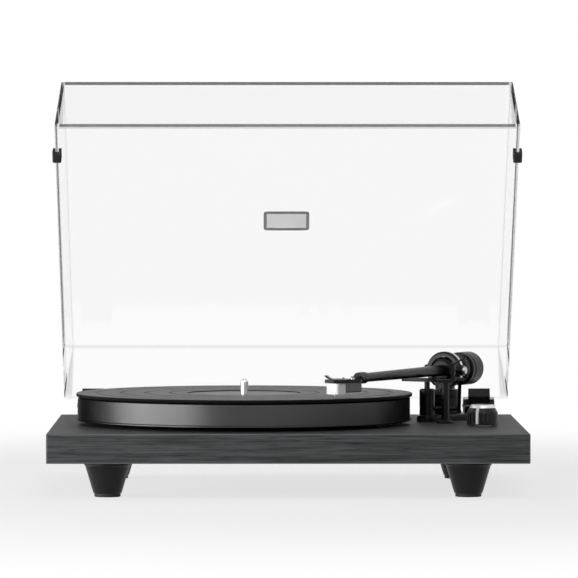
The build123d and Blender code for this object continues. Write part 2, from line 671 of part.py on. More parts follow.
# Rear plate with the signal sockets, earth post and power inlet
TERMINAL_BACK = BACK_PLANE.offset(-TERMINAL_T)
SCREW_SPAN = TERMINAL_W - 8.0
with BuildPart() as terminal_plate:
    with BuildSketch(TERMINAL_BACK):
        with Locations((-TERMINAL_X, TERMINAL_Z)):
            RectangleRounded(TERMINAL_W, TERMINAL_H, 1.8)
            with GridLocations(SCREW_SPAN, 0, 2, 1):
                Circle(1.6, mode=Mode.SUBTRACT)
        with Locations(*((-x, TERMINAL_Z) for x in (*RCA_X, EARTH_X))):
            Circle(SOCKET_R - 1 + SEAT_GAP, mode=Mode.SUBTRACT)
        with Locations((-INLET_X, TERMINAL_Z)):
            Rectangle(INLET_W + 0.1, INLET_H + 0.1, mode=Mode.SUBTRACT)
    extrude(amount=TERMINAL_T)
save(terminal_plate.part, "terminal_plate")

with BuildPart() as terminal_screws:
    with BuildSketch(BACK_PLANE):
        with Locations((-TERMINAL_X, TERMINAL_Z)):
            with GridLocations(SCREW_SPAN, 0, 2, 1):
                Circle(2.8)
    extrude(amount=1.5)
    fillet(terminal_screws.edges().group_by(Axis.Y)[-1], 0.9)
    with BuildSketch(BACK_PLANE):
        with Locations((-TERMINAL_X, TERMINAL_Z)):
            with GridLocations(SCREW_SPAN, 0, 2, 1):
                Circle(1.5)
    extrude(amount=-TERMINAL_T)
save(terminal_screws.part, "terminal_screws")

with BuildPart() as rca_sockets:
    with BuildSketch(BACK_PLANE.offset(-10)):
        with Locations(*((-x, TERMINAL_Z) for x in RCA_X)):
            Circle(SOCKET_R - 1)
    extrude(amount=10)
    with BuildSketch(BACK_PLANE):
        with Locations(*((-x, TERMINAL_Z) for x in RCA_X)):
            Circle(SOCKET_R + 1)
    extrude(amount=1.5)
    with BuildSketch(BACK_PLANE):
        with Locations(*((-x, TERMINAL_Z) for x in RCA_X)):
            Circle(SOCKET_R - 0.8)
    extrude(amount=9)
    with BuildSketch(BACK_PLANE.offset(9)):
        with Locations(*((-x, TERMINAL_Z) for x in RCA_X)):
            Circle(1.6)
    extrude(amount=-9, mode=Mode.SUBTRACT)
save(rca_sockets.part, "rca_sockets")

with BuildPart() as earth_post:
    with BuildSketch(BACK_PLANE.offset(-9)):
        with Locations((-EARTH_X, TERMINAL_Z)):
            Circle(SOCKET_R - 1)
    extrude(amount=9)
    with BuildSketch(BACK_PLANE):
        with Locations((-EARTH_X, TERMINAL_Z)):
            Circle(2)
    extrude(amount=9)
    with BuildSketch(BACK_PLANE.offset(2)):
        with Locations((-EARTH_X, TERMINAL_Z)):
            RegularPolygon(4.8, 14)
    extrude(amount=5)
save(earth_post.part, "earth_post")

with BuildPart() as power_inlet:
    with BuildSketch(BACK_PLANE.offset(-9)):
        with Locations((-INLET_X, TERMINAL_Z)):
            Rectangle(INLET_W, INLET_H)
    extrude(amount=10)
    fillet(power_inlet.edges().filter_by(Axis.Y), 1)
    with BuildSketch(BACK_PLANE.offset(1)):
        with Locations((-INLET_X, TERMINAL_Z)):
            Circle(3.2)
            Circle(1.0, mode=Mode.SUBTRACT)
    extrude(amount=-8, mode=Mode.SUBTRACT)
save(power_inlet.part, "power_inlet")

# Arm base plate, pillar and clamping nut
BASE_T = 6.0
BASE_R = 21.0
BASE_TOP = PLINTH_TOP + BASE_T
LIFT_BOSS_R = 9.5
SKATE_X = ARM_X + 25.0
SKATE_Y = ARM_Y + 3.0
SKATE_R = 7.5
GIMBAL_SHAFT_R = 4.0
PILLAR_WAIST_R = 12.2
with BuildPart() as arm_base:
    with BuildSketch(Plane.XY.offset(PLINTH_TOP)):
        with Locations((ARM_X, ARM_Y)):
            Circle(BASE_R)
        with Locations((LIFT_X, LIFT_Y)):
            Circle(LIFT_BOSS_R)
        with Locations((SKATE_X, SKATE_Y)):
            Circle(SKATE_R + 1.5)
        make_hull()
    extrude(amount=BASE_T)
    fillet(arm_base.edges().group_by(Axis.Z)[-1], 1.5)
    with BuildSketch(Plane.XY.offset(PLINTH_TOP)):
        with Locations((ARM_X, ARM_Y)):
            Circle(ARM_STEM_R + SCREW_GAP)
    extrude(amount=BASE_T, mode=Mode.SUBTRACT)
    with BuildSketch(Plane.XY.offset(BASE_TOP)):
        with Locations((SKATE_X, SKATE_Y)):
            Circle(2 + RUNNING_GAP)
    extrude(amount=-5, mode=Mode.SUBTRACT)
save(arm_base.part, "arm_base")

with BuildPart() as arm_pillar:
    with BuildSketch(upright(ARM_X, ARM_Y)):
        with BuildLine():
            Polyline(
                (GIMBAL_SHAFT_R + RUNNING_GAP, FOOT_H + 4),
                (ARM_STEM_R, FOOT_H + 4),
                (ARM_STEM_R, BASE_TOP),
                (PILLAR_R + 2, BASE_TOP),
                (PILLAR_R + 2, BASE_TOP + 2),
                (PILLAR_R, BASE_TOP + 3.5),
                (PILLAR_R, PILLAR_TOP - 7),
                (PILLAR_WAIST_R, PILLAR_TOP - 6.4),
                (PILLAR_WAIST_R, PILLAR_TOP - 5.4),
                (PILLAR_R, PILLAR_TOP - 4.8),
                (PILLAR_R, PILLAR_TOP - 1),
                (PILLAR_R - 1, PILLAR_TOP),
                (GIMBAL_SHAFT_R + RUNNING_GAP, PILLAR_TOP),
                close=True,
            )
        make_face()
    revolve(axis=vertical(ARM_X, ARM_Y))
save(arm_pillar.part, "arm_pillar")

with BuildPart() as arm_nut:
    with BuildSketch(Plane.XY.offset(ARM_NUT_TOP)):
        with Locations((ARM_X, ARM_Y)):
            RegularPolygon(16, 6)
            Circle(ARM_STEM_R + SEAT_GAP, mode=Mode.SUBTRACT)
    extrude(amount=-4)
save(arm_nut.part, "arm_nut")

# Gimbal ring on its vertical shaft, with cone-pointed pivot screws from both sides
RING_FOOT_Z = PILLAR_TOP + 0.5
RING_BOSS_R = 5.0
PIVOT_SCREW_R = 2.0
PIVOT_TIP = 9.2
PIVOT_SHOULDER = 11.0
PIVOT_HEAD = GIMBAL_R + 2.0
with BuildPart() as gimbal_ring:
    with BuildSketch(ARM_CROSS):
        Circle(GIMBAL_R)
        Circle(GIMBAL_BORE, mode=Mode.SUBTRACT)
    extrude(amount=GIMBAL_DEPTH / 2, both=True)
    fillet(gimbal_ring.edges().filter_by(GeomType.CIRCLE).group_by(SortBy.RADIUS)[-1], 2)
    with BuildSketch(Plane(ARM_PLANE.origin, x_dir=ARM_DIR, z_dir=ARM_PLANE.y_dir)):
        Circle(RING_BOSS_R)
    extrude(amount=PIVOT_HEAD, both=True)
    with BuildSketch(Plane.XY.offset(RING_FOOT_Z)):
        with Locations((ARM_X, ARM_Y)):
            Circle(PILLAR_R - 4)
    extrude(amount=4)
    with BuildSketch(ARM_CROSS):
        Circle(GIMBAL_BORE)
    extrude(amount=PIVOT_HEAD, both=True, mode=Mode.SUBTRACT)
    with BuildSketch(Plane(ARM_PLANE.origin, x_dir=ARM_DIR, z_dir=ARM_PLANE.y_dir)):
        Circle(PIVOT_SCREW_R + SEAT_GAP)
    extrude(amount=PIVOT_HEAD, both=True, mode=Mode.SUBTRACT)
save(gimbal_ring.part, "gimbal_ring")

with BuildPart() as gimbal_shaft:
    with BuildSketch(Plane.XY.offset(RING_FOOT_Z)):
        with Locations((ARM_X, ARM_Y)):
            Circle(GIMBAL_SHAFT_R)
    extrude(amount=-34)
    fillet(gimbal_shaft.edges().group_by(Axis.Z)[0], 1.5)
save(gimbal_shaft.part, "gimbal_shaft")

PIVOT_SIDES = Plane(ARM_PLANE.origin, x_dir=ARM_PLANE.y_dir, z_dir=-ARM_PLANE.x_dir)
PIVOT_AXIS = Axis(ARM_PLANE.origin, ARM_PLANE.y_dir)
with BuildPart() as pivot_screws:
    for side in (1, -1):
        with BuildSketch(PIVOT_SIDES):
            with BuildLine():
                Polyline(
                    (side * PIVOT_TIP, 0),
                    (side * PIVOT_SHOULDER, PIVOT_SCREW_R),
                    (side * PIVOT_HEAD, PIVOT_SCREW_R),
                    (side * PIVOT_HEAD, PIVOT_SCREW_R + 1.6),
                    (side * (PIVOT_HEAD + 1.8), PIVOT_SCREW_R + 1),
                    (side * (PIVOT_HEAD + 1.8), 0),
                    close=True,
                )
            make_face()
        revolve(axis=PIVOT_AXIS)
save(pivot_screws.part, "pivot_screws")

# Ball-sided pivot block, tube and rear stub tilt together in the gimbal
BLOCK_X = 9.0
BLOCK_Y = 9.0
BLOCK_R = 12.2
BLOCK_SIDE_R = (BLOCK_R**2 - BLOCK_Y**2) ** 0.5
STUB_R = 4.0
TUBE_SEAT = 1.0
with BuildPart() as pivot_block:
    with BuildSketch(PIVOT_SIDES):
        with BuildLine():
            Polyline((BLOCK_Y, BLOCK_SIDE_R), (BLOCK_Y, 0), (-BLOCK_Y, 0), (-BLOCK_Y, BLOCK_SIDE_R))
            ThreePointArc((-BLOCK_Y, BLOCK_SIDE_R), (0, BLOCK_R), (BLOCK_Y, BLOCK_SIDE_R))
        make_face()
    revolve(axis=PIVOT_AXIS)
    with BuildSketch(ARM_CROSS):
        Rectangle(2 * BLOCK_Y + 2, 2 * BLOCK_R + 2)
    extrude(amount=BLOCK_X, both=True, mode=Mode.INTERSECT)
    with BuildSketch(ARM_CROSS.offset(TUBE_SEAT)):
        Circle(TUBE_R + SEAT_GAP)
    extrude(amount=BLOCK_X, mode=Mode.SUBTRACT)
    with BuildSketch(ARM_CROSS.offset(-TUBE_SEAT)):
        Circle(STUB_R + SEAT_GAP)
    extrude(amount=-BLOCK_X, mode=Mode.SUBTRACT)
    with BuildSketch(ARM_SIDE):
        Circle(1.2)
    extrude(amount=BLOCK_Y + 1, both=True, mode=Mode.SUBTRACT)
save(pivot_block.part, "pivot_block")

with BuildPart() as arm_tube:
    with BuildSketch(ARM_SIDE):
        with BuildLine():
            Polyline(
                (TUBE_SEAT, TUBE_BORE),
                (TUBE_SEAT, TUBE_R),
                (BLOCK_X + 6, TUBE_R),
                (ARM_TUBE_END - 10, TUBE_TIP_R),
                (ARM_TUBE_END - 10, TUBE_TIP_R + 1.2),
                (ARM_TUBE_END - 3, TUBE_TIP_R + 1.2),
                (ARM_TUBE_END - 2.5, TUBE_TIP_R),
                (ARM_TUBE_END - 2.5, TUBE_BORE),
                close=True,
            )
        make_face()
    revolve(axis=ARM_AXIS)
save(arm_tube.part, "arm_tube")

with BuildPart() as rear_stub:
    with BuildSketch(ARM_CROSS.offset(-TUBE_SEAT)):
        Circle(STUB_R)
    extrude(amount=WEIGHT_BACK - 2 + TUBE_SEAT)
    chamfer(rear_stub.faces().sort_by(ARM_AXIS)[0].edges(), 0.8)
save(rear_stub.part, "rear_stub")

# Counterweight on a threaded sleeve, with a separate force dial ahead of it
SLEEVE_R = 7.0
DIAL_R = 12.5
DIAL_FRONT = -24.5
DIAL_BACK = WEIGHT_FRONT + 0.4
with BuildPart() as weight_sleeve:
    with BuildSketch(ARM_CROSS.offset(DIAL_FRONT + 0.5)):
        Circle(SLEEVE_R)
        Circle(STUB_R + RUNNING_GAP, mode=Mode.SUBTRACT)
    extrude(amount=WEIGHT_BACK - DIAL_FRONT)
save(weight_sleeve.part, "weight_sleeve")

with BuildPart() as force_dial:
    with BuildSketch(ARM_SIDE):
        with BuildLine():
            Polyline(
                (DIAL_FRONT, SLEEVE_R + RUNNING_GAP),
                (DIAL_FRONT, DIAL_R - 1.5),
                (DIAL_FRONT - 1.5, DIAL_R),
                (DIAL_BACK, DIAL_R),
                (DIAL_BACK, SLEEVE_R + RUNNING_GAP),
                close=True,
            )
        make_face()
    revolve(axis=ARM_AXIS)
save(force_dial.part, "force_dial")

with BuildPart() as counterweight:
    with BuildSketch(ARM_SIDE):
        with BuildLine():
            Polyline(
                (WEIGHT_FRONT, SLEEVE_R + RUNNING_GAP),
                (WEIGHT_FRONT, WEIGHT_R - 1),
                (WEIGHT_FRONT - 1, WEIGHT_R),
                (WEIGHT_FRONT - 5, WEIGHT_R),
                (WEIGHT_FRONT - 5.5, WEIGHT_R - 0.8),
                (WEIGHT_FRONT - 7, WEIGHT_R - 0.8),
                (WEIGHT_FRONT - 7.5, WEIGHT_R),
                (WEIGHT_BACK + 2, WEIGHT_R),
                (WEIGHT_BACK, WEIGHT_R - 2),
                (WEIGHT_BACK, SLEEVE_R + RUNNING_GAP),
                close=True,
            )
        make_face()
    revolve(axis=ARM_AXIS)
save(counterweight.part, "counterweight")

# Headshell turned towards the spindle, with cartridge, stylus holder and finger lift
SHELL_TOP = ARM_Z - 0.5
SHELL_T = 3.0
SHELL_BACK = -0.5
SHELL_FRONT = 37.0
SHELL_W = 19.0
CART_BACK = 5.0
CART_FRONT = 24.0
CART_W = 16.0
CART_BOTTOM = MAT_TOP + 4.8
HOLDER_FRONT = 34.0
HOLDER_BOTTOM = MAT_TOP + 3.4
TIP_Z = MAT_TOP + 1.5
CART_SCREW_Y = 6.35
CART_SCREW_X = 15.0
SHELL_BOTTOM = SHELL_TOP - SHELL_T
with BuildPart() as headshell:
    with BuildSketch(SHELL_PLANE.offset(SHELL_BOTTOM)):
        with BuildLine():
            Polyline(
                (SHELL_BACK, -4),
                (SHELL_BACK + 8, -SHELL_W / 2),
                (SHELL_FRONT - 6, -SHELL_W / 2),
                (SHELL_FRONT, -SHELL_W / 2 + 4),
                (SHELL_FRONT, SHELL_W / 2 - 4),
                (SHELL_FRONT - 6, SHELL_W / 2),
                (SHELL_BACK + 8, SHELL_W / 2),
                (SHELL_BACK, 4),
                close=True,
            )
        make_face()
        with Locations((CART_SCREW_X, CART_SCREW_Y), (CART_SCREW_X, -CART_SCREW_Y)):
            SlotCenterToCenter(7, 2.8, mode=Mode.SUBTRACT)
    extrude(amount=SHELL_T)
    with BuildSketch(ARM_CROSS.offset(ARM_TUBE_END - 2.5)):
        Circle(TUBE_TIP_R + 1.0)
    extrude(amount=5)
    with BuildSketch(SHELL_PLANE.offset(SHELL_TOP)):
        with Locations((4, 0)):
            Rectangle(6, 7)
    extrude(amount=2)
save(headshell.part, "headshell")

with BuildPart() as finger_lift:
    with BuildSketch(Plane(SHELL_PLANE.origin, x_dir=SHELL_PLANE.x_dir, z_dir=-SHELL_PLANE.y_dir)):
        with BuildLine():
            Line((SHELL_FRONT - 15, SHELL_TOP), (SHELL_FRONT - 4, SHELL_TOP))
            RadiusArc((SHELL_FRONT - 4, SHELL_TOP), (SHELL_FRONT + 4, SHELL_TOP + 3.4), -16)
            Line((SHELL_FRONT + 4, SHELL_TOP + 3.4), (SHELL_FRONT + 3.3, SHELL_TOP + 4.3))
            RadiusArc((SHELL_FRONT + 3.3, SHELL_TOP + 4.3), (SHELL_FRONT - 4, SHELL_TOP + 1), 15)
            Line((SHELL_FRONT - 4, SHELL_TOP + 1), (SHELL_FRONT - 15, SHELL_TOP + 1))
            Line((SHELL_FRONT - 15, SHELL_TOP + 1), (SHELL_FRONT - 15, SHELL_TOP))
        make_face()
    extrude(amount=2, both=True)
save(finger_lift.part, "finger_lift")

with BuildPart() as cartridge:
    with BuildSketch(SHELL_PLANE.offset(SHELL_BOTTOM)):
        with Locations(((CART_BACK + CART_FRONT) / 2, 0)):
            Rectangle(CART_FRONT - CART_BACK, CART_W)
    extrude(amount=CART_BOTTOM - SHELL_BOTTOM)
    chamfer(cartridge.edges().group_by(Axis.Z)[0], 0.8)
    with BuildSketch(SHELL_PLANE.offset(SHELL_BOTTOM)):
        with Locations((CART_SCREW_X, CART_SCREW_Y), (CART_SCREW_X, -CART_SCREW_Y)):
            Circle(1.3)
    extrude(amount=CART_BOTTOM + 1.5 - SHELL_BOTTOM, mode=Mode.SUBTRACT)
save(cartridge.part, "cartridge")

with BuildPart() as cartridge_screws:
    with BuildSketch(SHELL_PLANE.offset(SHELL_TOP)):
        with Locations((CART_SCREW_X, CART_SCREW_Y), (CART_SCREW_X, -CART_SCREW_Y)):
            Circle(2.1)
    extrude(amount=1.4)
    with BuildSketch(SHELL_PLANE.offset(SHELL_TOP)):
        with Locations((CART_SCREW_X, CART_SCREW_Y), (CART_SCREW_X, -CART_SCREW_Y)):
            Circle(1.2)
    extrude(amount=CART_BOTTOM + 2 - SHELL_TOP)
save(cartridge_screws.part, "cartridge_screws")

with BuildPart() as stylus_holder:
    with BuildSketch(SHELL_PLANE.offset(HOLDER_BOTTOM)):
        with Locations(((CART_FRONT + HOLDER_FRONT) / 2, 0)):
            Rectangle(HOLDER_FRONT - CART_FRONT - 0.1, CART_W - 1)
    extrude(amount=SHELL_BOTTOM - 0.3 - HOLDER_BOTTOM)
    shell_axis = Axis(SHELL_PLANE.origin, SHELL_PLANE.x_dir)
    fillet(stylus_holder.edges().filter_by(Axis.Z).sort_by(shell_axis)[-2:], 2)
    with BuildSketch(SHELL_PLANE.offset(HOLDER_BOTTOM)):
        with Locations((STYLUS_REACH, 0)):
            Rectangle(5, 1.4)
    extrude(amount=-0.9)
    with BuildSketch(SHELL_PLANE.offset(HOLDER_BOTTOM)):
        with Locations((STYLUS_REACH + 2, 0)):
            Circle(0.45)
    extrude(amount=TIP_Z - HOLDER_BOTTOM)
save(stylus_holder.part, "stylus_holder")

# Cue lift: housing on the base plate, lever with an eccentric, and a bar that follows the arm's arc
LIFT_HOUSING_R = 7.0
LIFT_HOUSING_TOP = PLINTH_TOP + 30.0
LIFT_PIN_R = 2.5
CAM_Z = PLINTH_TOP + 12.0
CAM_R = 3.0
CAM_OFFSET = 2.0
CAM_ROOM = 5.6
LEVER_SHAFT_R = 2.0
LEVER_X = LIFT_X + 29.0
LEVER_L = 30.0
LEVER_RISE = 60.0
LIFT_BAR_TOP = ARM_Z - 5.3
LIFT_BAR_H = 3.5
LIFT_BAR_W = 3.0
LIFT_BAR_FROM = 3.0
LIFT_BAR_TO = 52.0
LIFT_PIN_BOTTOM = CAM_Z + CAM_OFFSET + CAM_R + 0.7
CAM_PLANE = Plane(origin=(LIFT_X, LIFT_Y, CAM_Z), x_dir=(0, 1, 0), z_dir=(1, 0, 0))
with BuildPart() as lift_housing:
    with BuildSketch(Plane.XY.offset(BASE_TOP)):
        with Locations((LIFT_X, LIFT_Y)):
            Circle(LIFT_HOUSING_R)
    extrude(amount=LIFT_HOUSING_TOP - BASE_TOP)
    chamfer(lift_housing.edges().group_by(Axis.Z)[-1], 1.2)
    with BuildSketch(CAM_PLANE):
        Circle(CAM_ROOM)
    extrude(amount=3, both=True, mode=Mode.SUBTRACT)
    with BuildSketch(CAM_PLANE):
        Circle(LEVER_SHAFT_R + RUNNING_GAP)
    extrude(amount=LIFT_HOUSING_R, both=True, mode=Mode.SUBTRACT)
    with BuildSketch(Plane.XY.offset(CAM_Z)):
        with Locations((LIFT_X, LIFT_Y)):
            Circle(LIFT_PIN_R + RUNNING_GAP)
    extrude(amount=LIFT_HOUSING_TOP - CAM_Z, mode=Mode.SUBTRACT)
save(lift_housing.part, "lift_housing")

with BuildPart() as lift_bar:
    with BuildSketch(Plane.XY.offset(LIFT_BAR_TOP - LIFT_BAR_H)):
        with BuildLine():
            CenterArc(
                (ARM_X, ARM_Y), LIFT_REACH, -90 - LIFT_BAR_TO, LIFT_BAR_TO - LIFT_BAR_FROM
            )
        trace(line_width=LIFT_BAR_W)
    extrude(amount=LIFT_BAR_H)
    with BuildSketch(Plane.XY.offset(LIFT_BAR_TOP - LIFT_BAR_H)):
        with Locations((LIFT_X, LIFT_Y)):
            Circle(LIFT_PIN_R)
    extrude(amount=LIFT_PIN_BOTTOM - LIFT_BAR_TOP + LIFT_BAR_H)
save(lift_bar.part, "lift_bar")

LEVER_DIR = (0, -cos(radians(LEVER_RISE)), sin(radians(LEVER_RISE)))
LEVER_PLANE = Plane(origin=(LEVER_X, LIFT_Y, CAM_Z), x_dir=LEVER_DIR, z_dir=(-1, 0, 0))
with BuildPart() as cue_lever:
    with BuildSketch(CAM_PLANE):
        with Locations((0, CAM_OFFSET)):
            Circle(CAM_R)
    extrude(amount=2.5, both=True)
    with BuildSketch(CAM_PLANE.offset(-LIFT_HOUSING_R + 0.5)):
        Circle(LEVER_SHAFT_R)
    extrude(amount=LIFT_HOUSING_R - 0.5 + LEVER_X - LIFT_X)
    with BuildSketch(LEVER_PLANE):
        Circle(3.4)
        with Locations((LEVER_L, 0)):
            Circle(2.2)
        make_hull()
    extrude(amount=1.5, both=True)
    with BuildSketch(LEVER_PLANE):
        with Locations((LEVER_L, 0)):
            Circle(2.8)
    extrude(amount=4, both=True)
    fillet(cue_lever.edges().filter_by(GeomType.CIRCLE).group_by(SortBy.DISTANCE)[-1], 0.4)
save(cue_lever.part, "cue_lever")

# Arm rest, open towards the platter, with a swing-over clip
REST_GAP = 0.6
REST_TUBE_R = 4.7
REST_FLOOR = -REST_TUBE_R - REST_GAP
REST_WALL_X = REST_TUBE_R + REST_GAP
REST_WALL_T = 3.0
REST_HALF = 5.0
CLIP_Z = 8.0
CLIP_HALF = 2.0
CLIP_L = 13.5
CLIP_OPEN = 150.0
CLIP_PIN_R = 0.8
PARK_RIGHT = (cos(radians(PARK_ANGLE)), -sin(radians(PARK_ANGLE)), 0)
REST_CROSS = Plane(origin=(REST_X, REST_Y, ARM_Z), x_dir=PARK_RIGHT, z_dir=ahead(PARK_ANGLE))
CLIP_CENTRE = (REST_WALL_X + REST_WALL_T / 2, CLIP_Z)
with BuildPart() as arm_rest:
    with BuildSketch(REST_CROSS):
        with BuildLine():
            Polyline(
                (-8, REST_FLOOR - 3),
                (REST_WALL_X + REST_WALL_T, REST_FLOOR - 3),
                (REST_WALL_X + REST_WALL_T, CLIP_Z + 1.8),
                (REST_WALL_X, CLIP_Z + 1.8),
                (REST_WALL_X, REST_FLOOR),
                (-7, REST_FLOOR),
                (-8, REST_FLOOR - 1),
                close=True,
            )
        make_face()
    extrude(amount=REST_HALF, both=True)
    with BuildSketch(REST_CROSS):
        with Locations(CLIP_CENTRE):
            Rectangle(REST_WALL_T + 1, 5.2)
    extrude(amount=CLIP_HALF + 0.3, both=True, mode=Mode.SUBTRACT)
    with BuildSketch(REST_CROSS):
        with Locations(CLIP_CENTRE):
            Circle(CLIP_PIN_R + RUNNING_GAP)
    extrude(amount=REST_HALF, both=True, mode=Mode.SUBTRACT)
    with BuildSketch(upright(REST_X, REST_Y)):
        with BuildLine():
            Polyline(
                (0, PLINTH_TOP),
                (8, PLINTH_TOP),
                (8, PLINTH_TOP + 1.5),
                (3.5, PLINTH_TOP + 4),
                (3.5, ARM_Z + REST_FLOOR - 1.5),
                (0, ARM_Z + REST_FLOOR - 1.5),
                close=True,
            )
        make_face()
    revolve(axis=vertical(REST_X, REST_Y))
save(arm_rest.part, "arm_rest")

CLIP_TURN = radians(180 - CLIP_OPEN)
CLIP_AXIS_PLANE = Plane(
    REST_CROSS.from_local_coords((*CLIP_CENTRE, 0)),
    x_dir=REST_CROSS.x_dir * cos(CLIP_TURN) + REST_CROSS.y_dir * sin(CLIP_TURN),
    z_dir=REST_CROSS.z_dir,
)
with BuildPart() as arm_clip:
    with BuildSketch(CLIP_AXIS_PLANE):
        Circle(1.6)
        with BuildLine():
            Polyline(
                (CLIP_L - 1.4, -0.8),
                (CLIP_L - 1.4, 3.4),
                (CLIP_L, 3.8),
                (CLIP_L, -0.8),
                close=True,
            )
        make_face()
        with Locations((CLIP_L / 2, 0)):
            Rectangle(CLIP_L, 1.6)
    extrude(amount=CLIP_HALF, both=True)
    with BuildSketch(CLIP_AXIS_PLANE):
        Circle(CLIP_PIN_R)
    extrude(amount=REST_HALF - 0.3, both=True)
save(arm_clip.part, "arm_clip")

# Anti-skate dial
with BuildPart() as skate_dial:
    with BuildSketch(Plane.XY.offset(BASE_TOP + 0.3)):
        with Locations((SKATE_X, SKATE_Y)):
            RegularPolygon(SKATE_R, 24)
    extrude(amount=6)
    chamfer(skate_dial.edges().group_by(Axis.Z)[-1], 0.8)
    with BuildSketch(Plane.XY.offset(BASE_TOP + 0.3)):
        with Locations((SKATE_X, SKATE_Y)):
            Circle(2)
    extrude(amount=-4.5)
save(skate_dial.part, "skate_dial")

# Lid: a drafted clear pan, open below
LID_MID_Y = LID_RIM_Y - LID_L / 2
LID_TOP_L = LID_L - LID_FRONT_DRAFT - LID_BACK_DRAFT
LID_TOP_Y = LID_RIM_Y - LID_BACK_DRAFT - LID_TOP_L / 2
LID_TOP_W = LID_W - 2 * LID_SIDE_DRAFT
INNER_SHARE = (LID_H - LID_WALL) / LID_H
LID_EDGE_R = 1.2
with BuildPart() as lid:
    with BuildSketch(LID_PLANE.offset(LID_RIM_Z)):
        with Locations((0, LID_MID_Y)):
            Rectangle(LID_W, LID_L)
    with BuildSketch(LID_PLANE.offset(LID_RIM_Z + LID_H)):
        with Locations((0, LID_TOP_Y)):
            Rectangle(LID_TOP_W, LID_TOP_L)
    loft()
    lid_axis = Axis(LID_PLANE.origin, LID_PLANE.z_dir)
    fillet(lid.edges().group_by(lid_axis)[1:], LID_EDGE_R)
    with BuildSketch(LID_PLANE.offset(LID_RIM_Z)):
        with Locations((0, LID_MID_Y)):
            Rectangle(LID_W - 2 * LID_WALL, LID_L - 2 * LID_WALL)
    with BuildSketch(LID_PLANE.offset(LID_RIM_Z + LID_H - LID_WALL)):
        with Locations((0, LID_MID_Y + (LID_TOP_Y - LID_MID_Y) * INNER_SHARE)):
            Rectangle(
                LID_W - 2 * LID_WALL - 2 * LID_SIDE_DRAFT * INNER_SHARE,
                LID_L - 2 * LID_WALL - (LID_FRONT_DRAFT + LID_BACK_DRAFT) * INNER_SHARE,
            )
    loft(mode=Mode.SUBTRACT)
save(lid.part, "lid")

# Lid bumpers, clipped over the side rims
BUMPER_FROM_FRONT = 36.0
BUMPER_L = 10.0
BUMPER_DROP = 3.6
BUMPER_RISE = 5.0
BUMPER_T = 2.4
SIDE_SLOPE = LID_SIDE_DRAFT / LID_H
BUMPER_Y = LID_RIM_Y - LID_L + BUMPER_FROM_FRONT
with BuildPart() as lid_bumpers:
    for side in (1, -1):
        rim_x = LID_W / 2
        lean = SIDE_SLOPE * BUMPER_RISE
        bumper_plane = Plane(
            LID_PLANE.from_local_coords((0, BUMPER_Y, LID_RIM_Z)),
            x_dir=LID_PLANE.x_dir,
            z_dir=-LID_PLANE.y_dir,
        )
        with BuildSketch(bumper_plane):
            with BuildLine():
                Polyline(
                    (side * (rim_x + BUMPER_T), 0),
                    (side * (rim_x + BUMPER_T - lean), BUMPER_RISE),
                    (side * (rim_x - lean), BUMPER_RISE),
                    (side * rim_x, 0),
                    (side * (rim_x - LID_WALL), 0),
                    (side * (rim_x - LID_WALL - lean), BUMPER_RISE),
                    (side * (rim_x - LID_WALL - BUMPER_T - lean), BUMPER_RISE),
                    (side * (rim_x - LID_WALL - BUMPER_T), -BUMPER_DROP + 1),
                    (side * (rim_x - LID_WALL - BUMPER_T + 1), -BUMPER_DROP),
                    (side * (rim_x + BUMPER_T - 1), -BUMPER_DROP),
                    (side * (rim_x + BUMPER_T), -BUMPER_DROP + 1),
                    close=True,
                )
            make_face()
        extrude(amount=BUMPER_L / 2, both=True)
save(lid_bumpers.part, "lid_bumpers")

# Lid hinges: bracket on the plinth's back, pin, and a clip that grips the lid's rear wall
CLIP_W = 20.0
KNUCKLE_W = 15.2
KNUCKLE_R = 4.7
HINGE_PIN_R = 2.0
CLIP_BOTTOM = LID_RIM_Z - 2.8
CLIP_TOP = 3.4
BACK_SLOPE = LID_BACK_DRAFT / LID_H
GRIP_GAP = 0.03
GRIP_T = 3.4
BRACKET_T = 3.0
EAR_IN = 8.0
EAR_OUT = 14.5
EAR_R = 7.4
BRACKET_W = 30.0
BRACKET_TOP = -12.0
BRACKET_BOTTOM = -32.0
PLINTH_BACK_LOCAL = PLINTH_BACK_Y - HINGE_Y
HINGE_SCREW_R = 2.0
HINGE_SCREW_HEAD_R = 3.4
HINGE_SCREW_Z = (HINGE_Z + BRACKET_TOP - 5, HINGE_Z + BRACKET_BOTTOM + 5)
HINGE_XS = (-HINGE_X, HINGE_X)
CLIP_LEAN = BACK_SLOPE * (CLIP_TOP - LID_RIM_Z)
GRIP_OUT = LID_RIM_Y + GRIP_GAP
GRIP_IN = LID_RIM_Y - LID_WALL - GRIP_GAP
with BuildPart() as hinge_clips:
    for hinge_x in HINGE_XS:
        clip_plane = Plane(
            LID_PLANE.from_local_coords((hinge_x, 0, 0)),
            x_dir=LID_PLANE.y_dir,
            z_dir=LID_PLANE.x_dir,
        )
        with BuildSketch(clip_plane):
            with BuildLine():
                Polyline(
                    (GRIP_IN - GRIP_T, CLIP_BOTTOM),
                    (GRIP_OUT + GRIP_T, CLIP_BOTTOM),
                    (GRIP_OUT + GRIP_T - CLIP_LEAN, CLIP_TOP),
                    (GRIP_OUT - CLIP_LEAN, CLIP_TOP),
                    (GRIP_OUT, LID_RIM_Z - GRIP_GAP),
                    (GRIP_IN, LID_RIM_Z - GRIP_GAP),
                    (GRIP_IN - CLIP_LEAN, CLIP_TOP),
                    (GRIP_IN - GRIP_T - CLIP_LEAN, CLIP_TOP),
                    close=True,
                )
            make_face()
        extrude(amount=CLIP_W / 2, both=True)
        with BuildSketch(clip_plane):
            Circle(KNUCKLE_R)
            with Locations((LID_RIM_Y / 2 + 1, 0)):
                Rectangle(-LID_RIM_Y - 2.4, 7)
        extrude(amount=KNUCKLE_W / 2, both=True)
        with BuildSketch(clip_plane):
            Circle(HINGE_PIN_R + RUNNING_GAP)
        extrude(amount=KNUCKLE_W, both=True, mode=Mode.SUBTRACT)
save(hinge_clips.part, "hinge_clips")

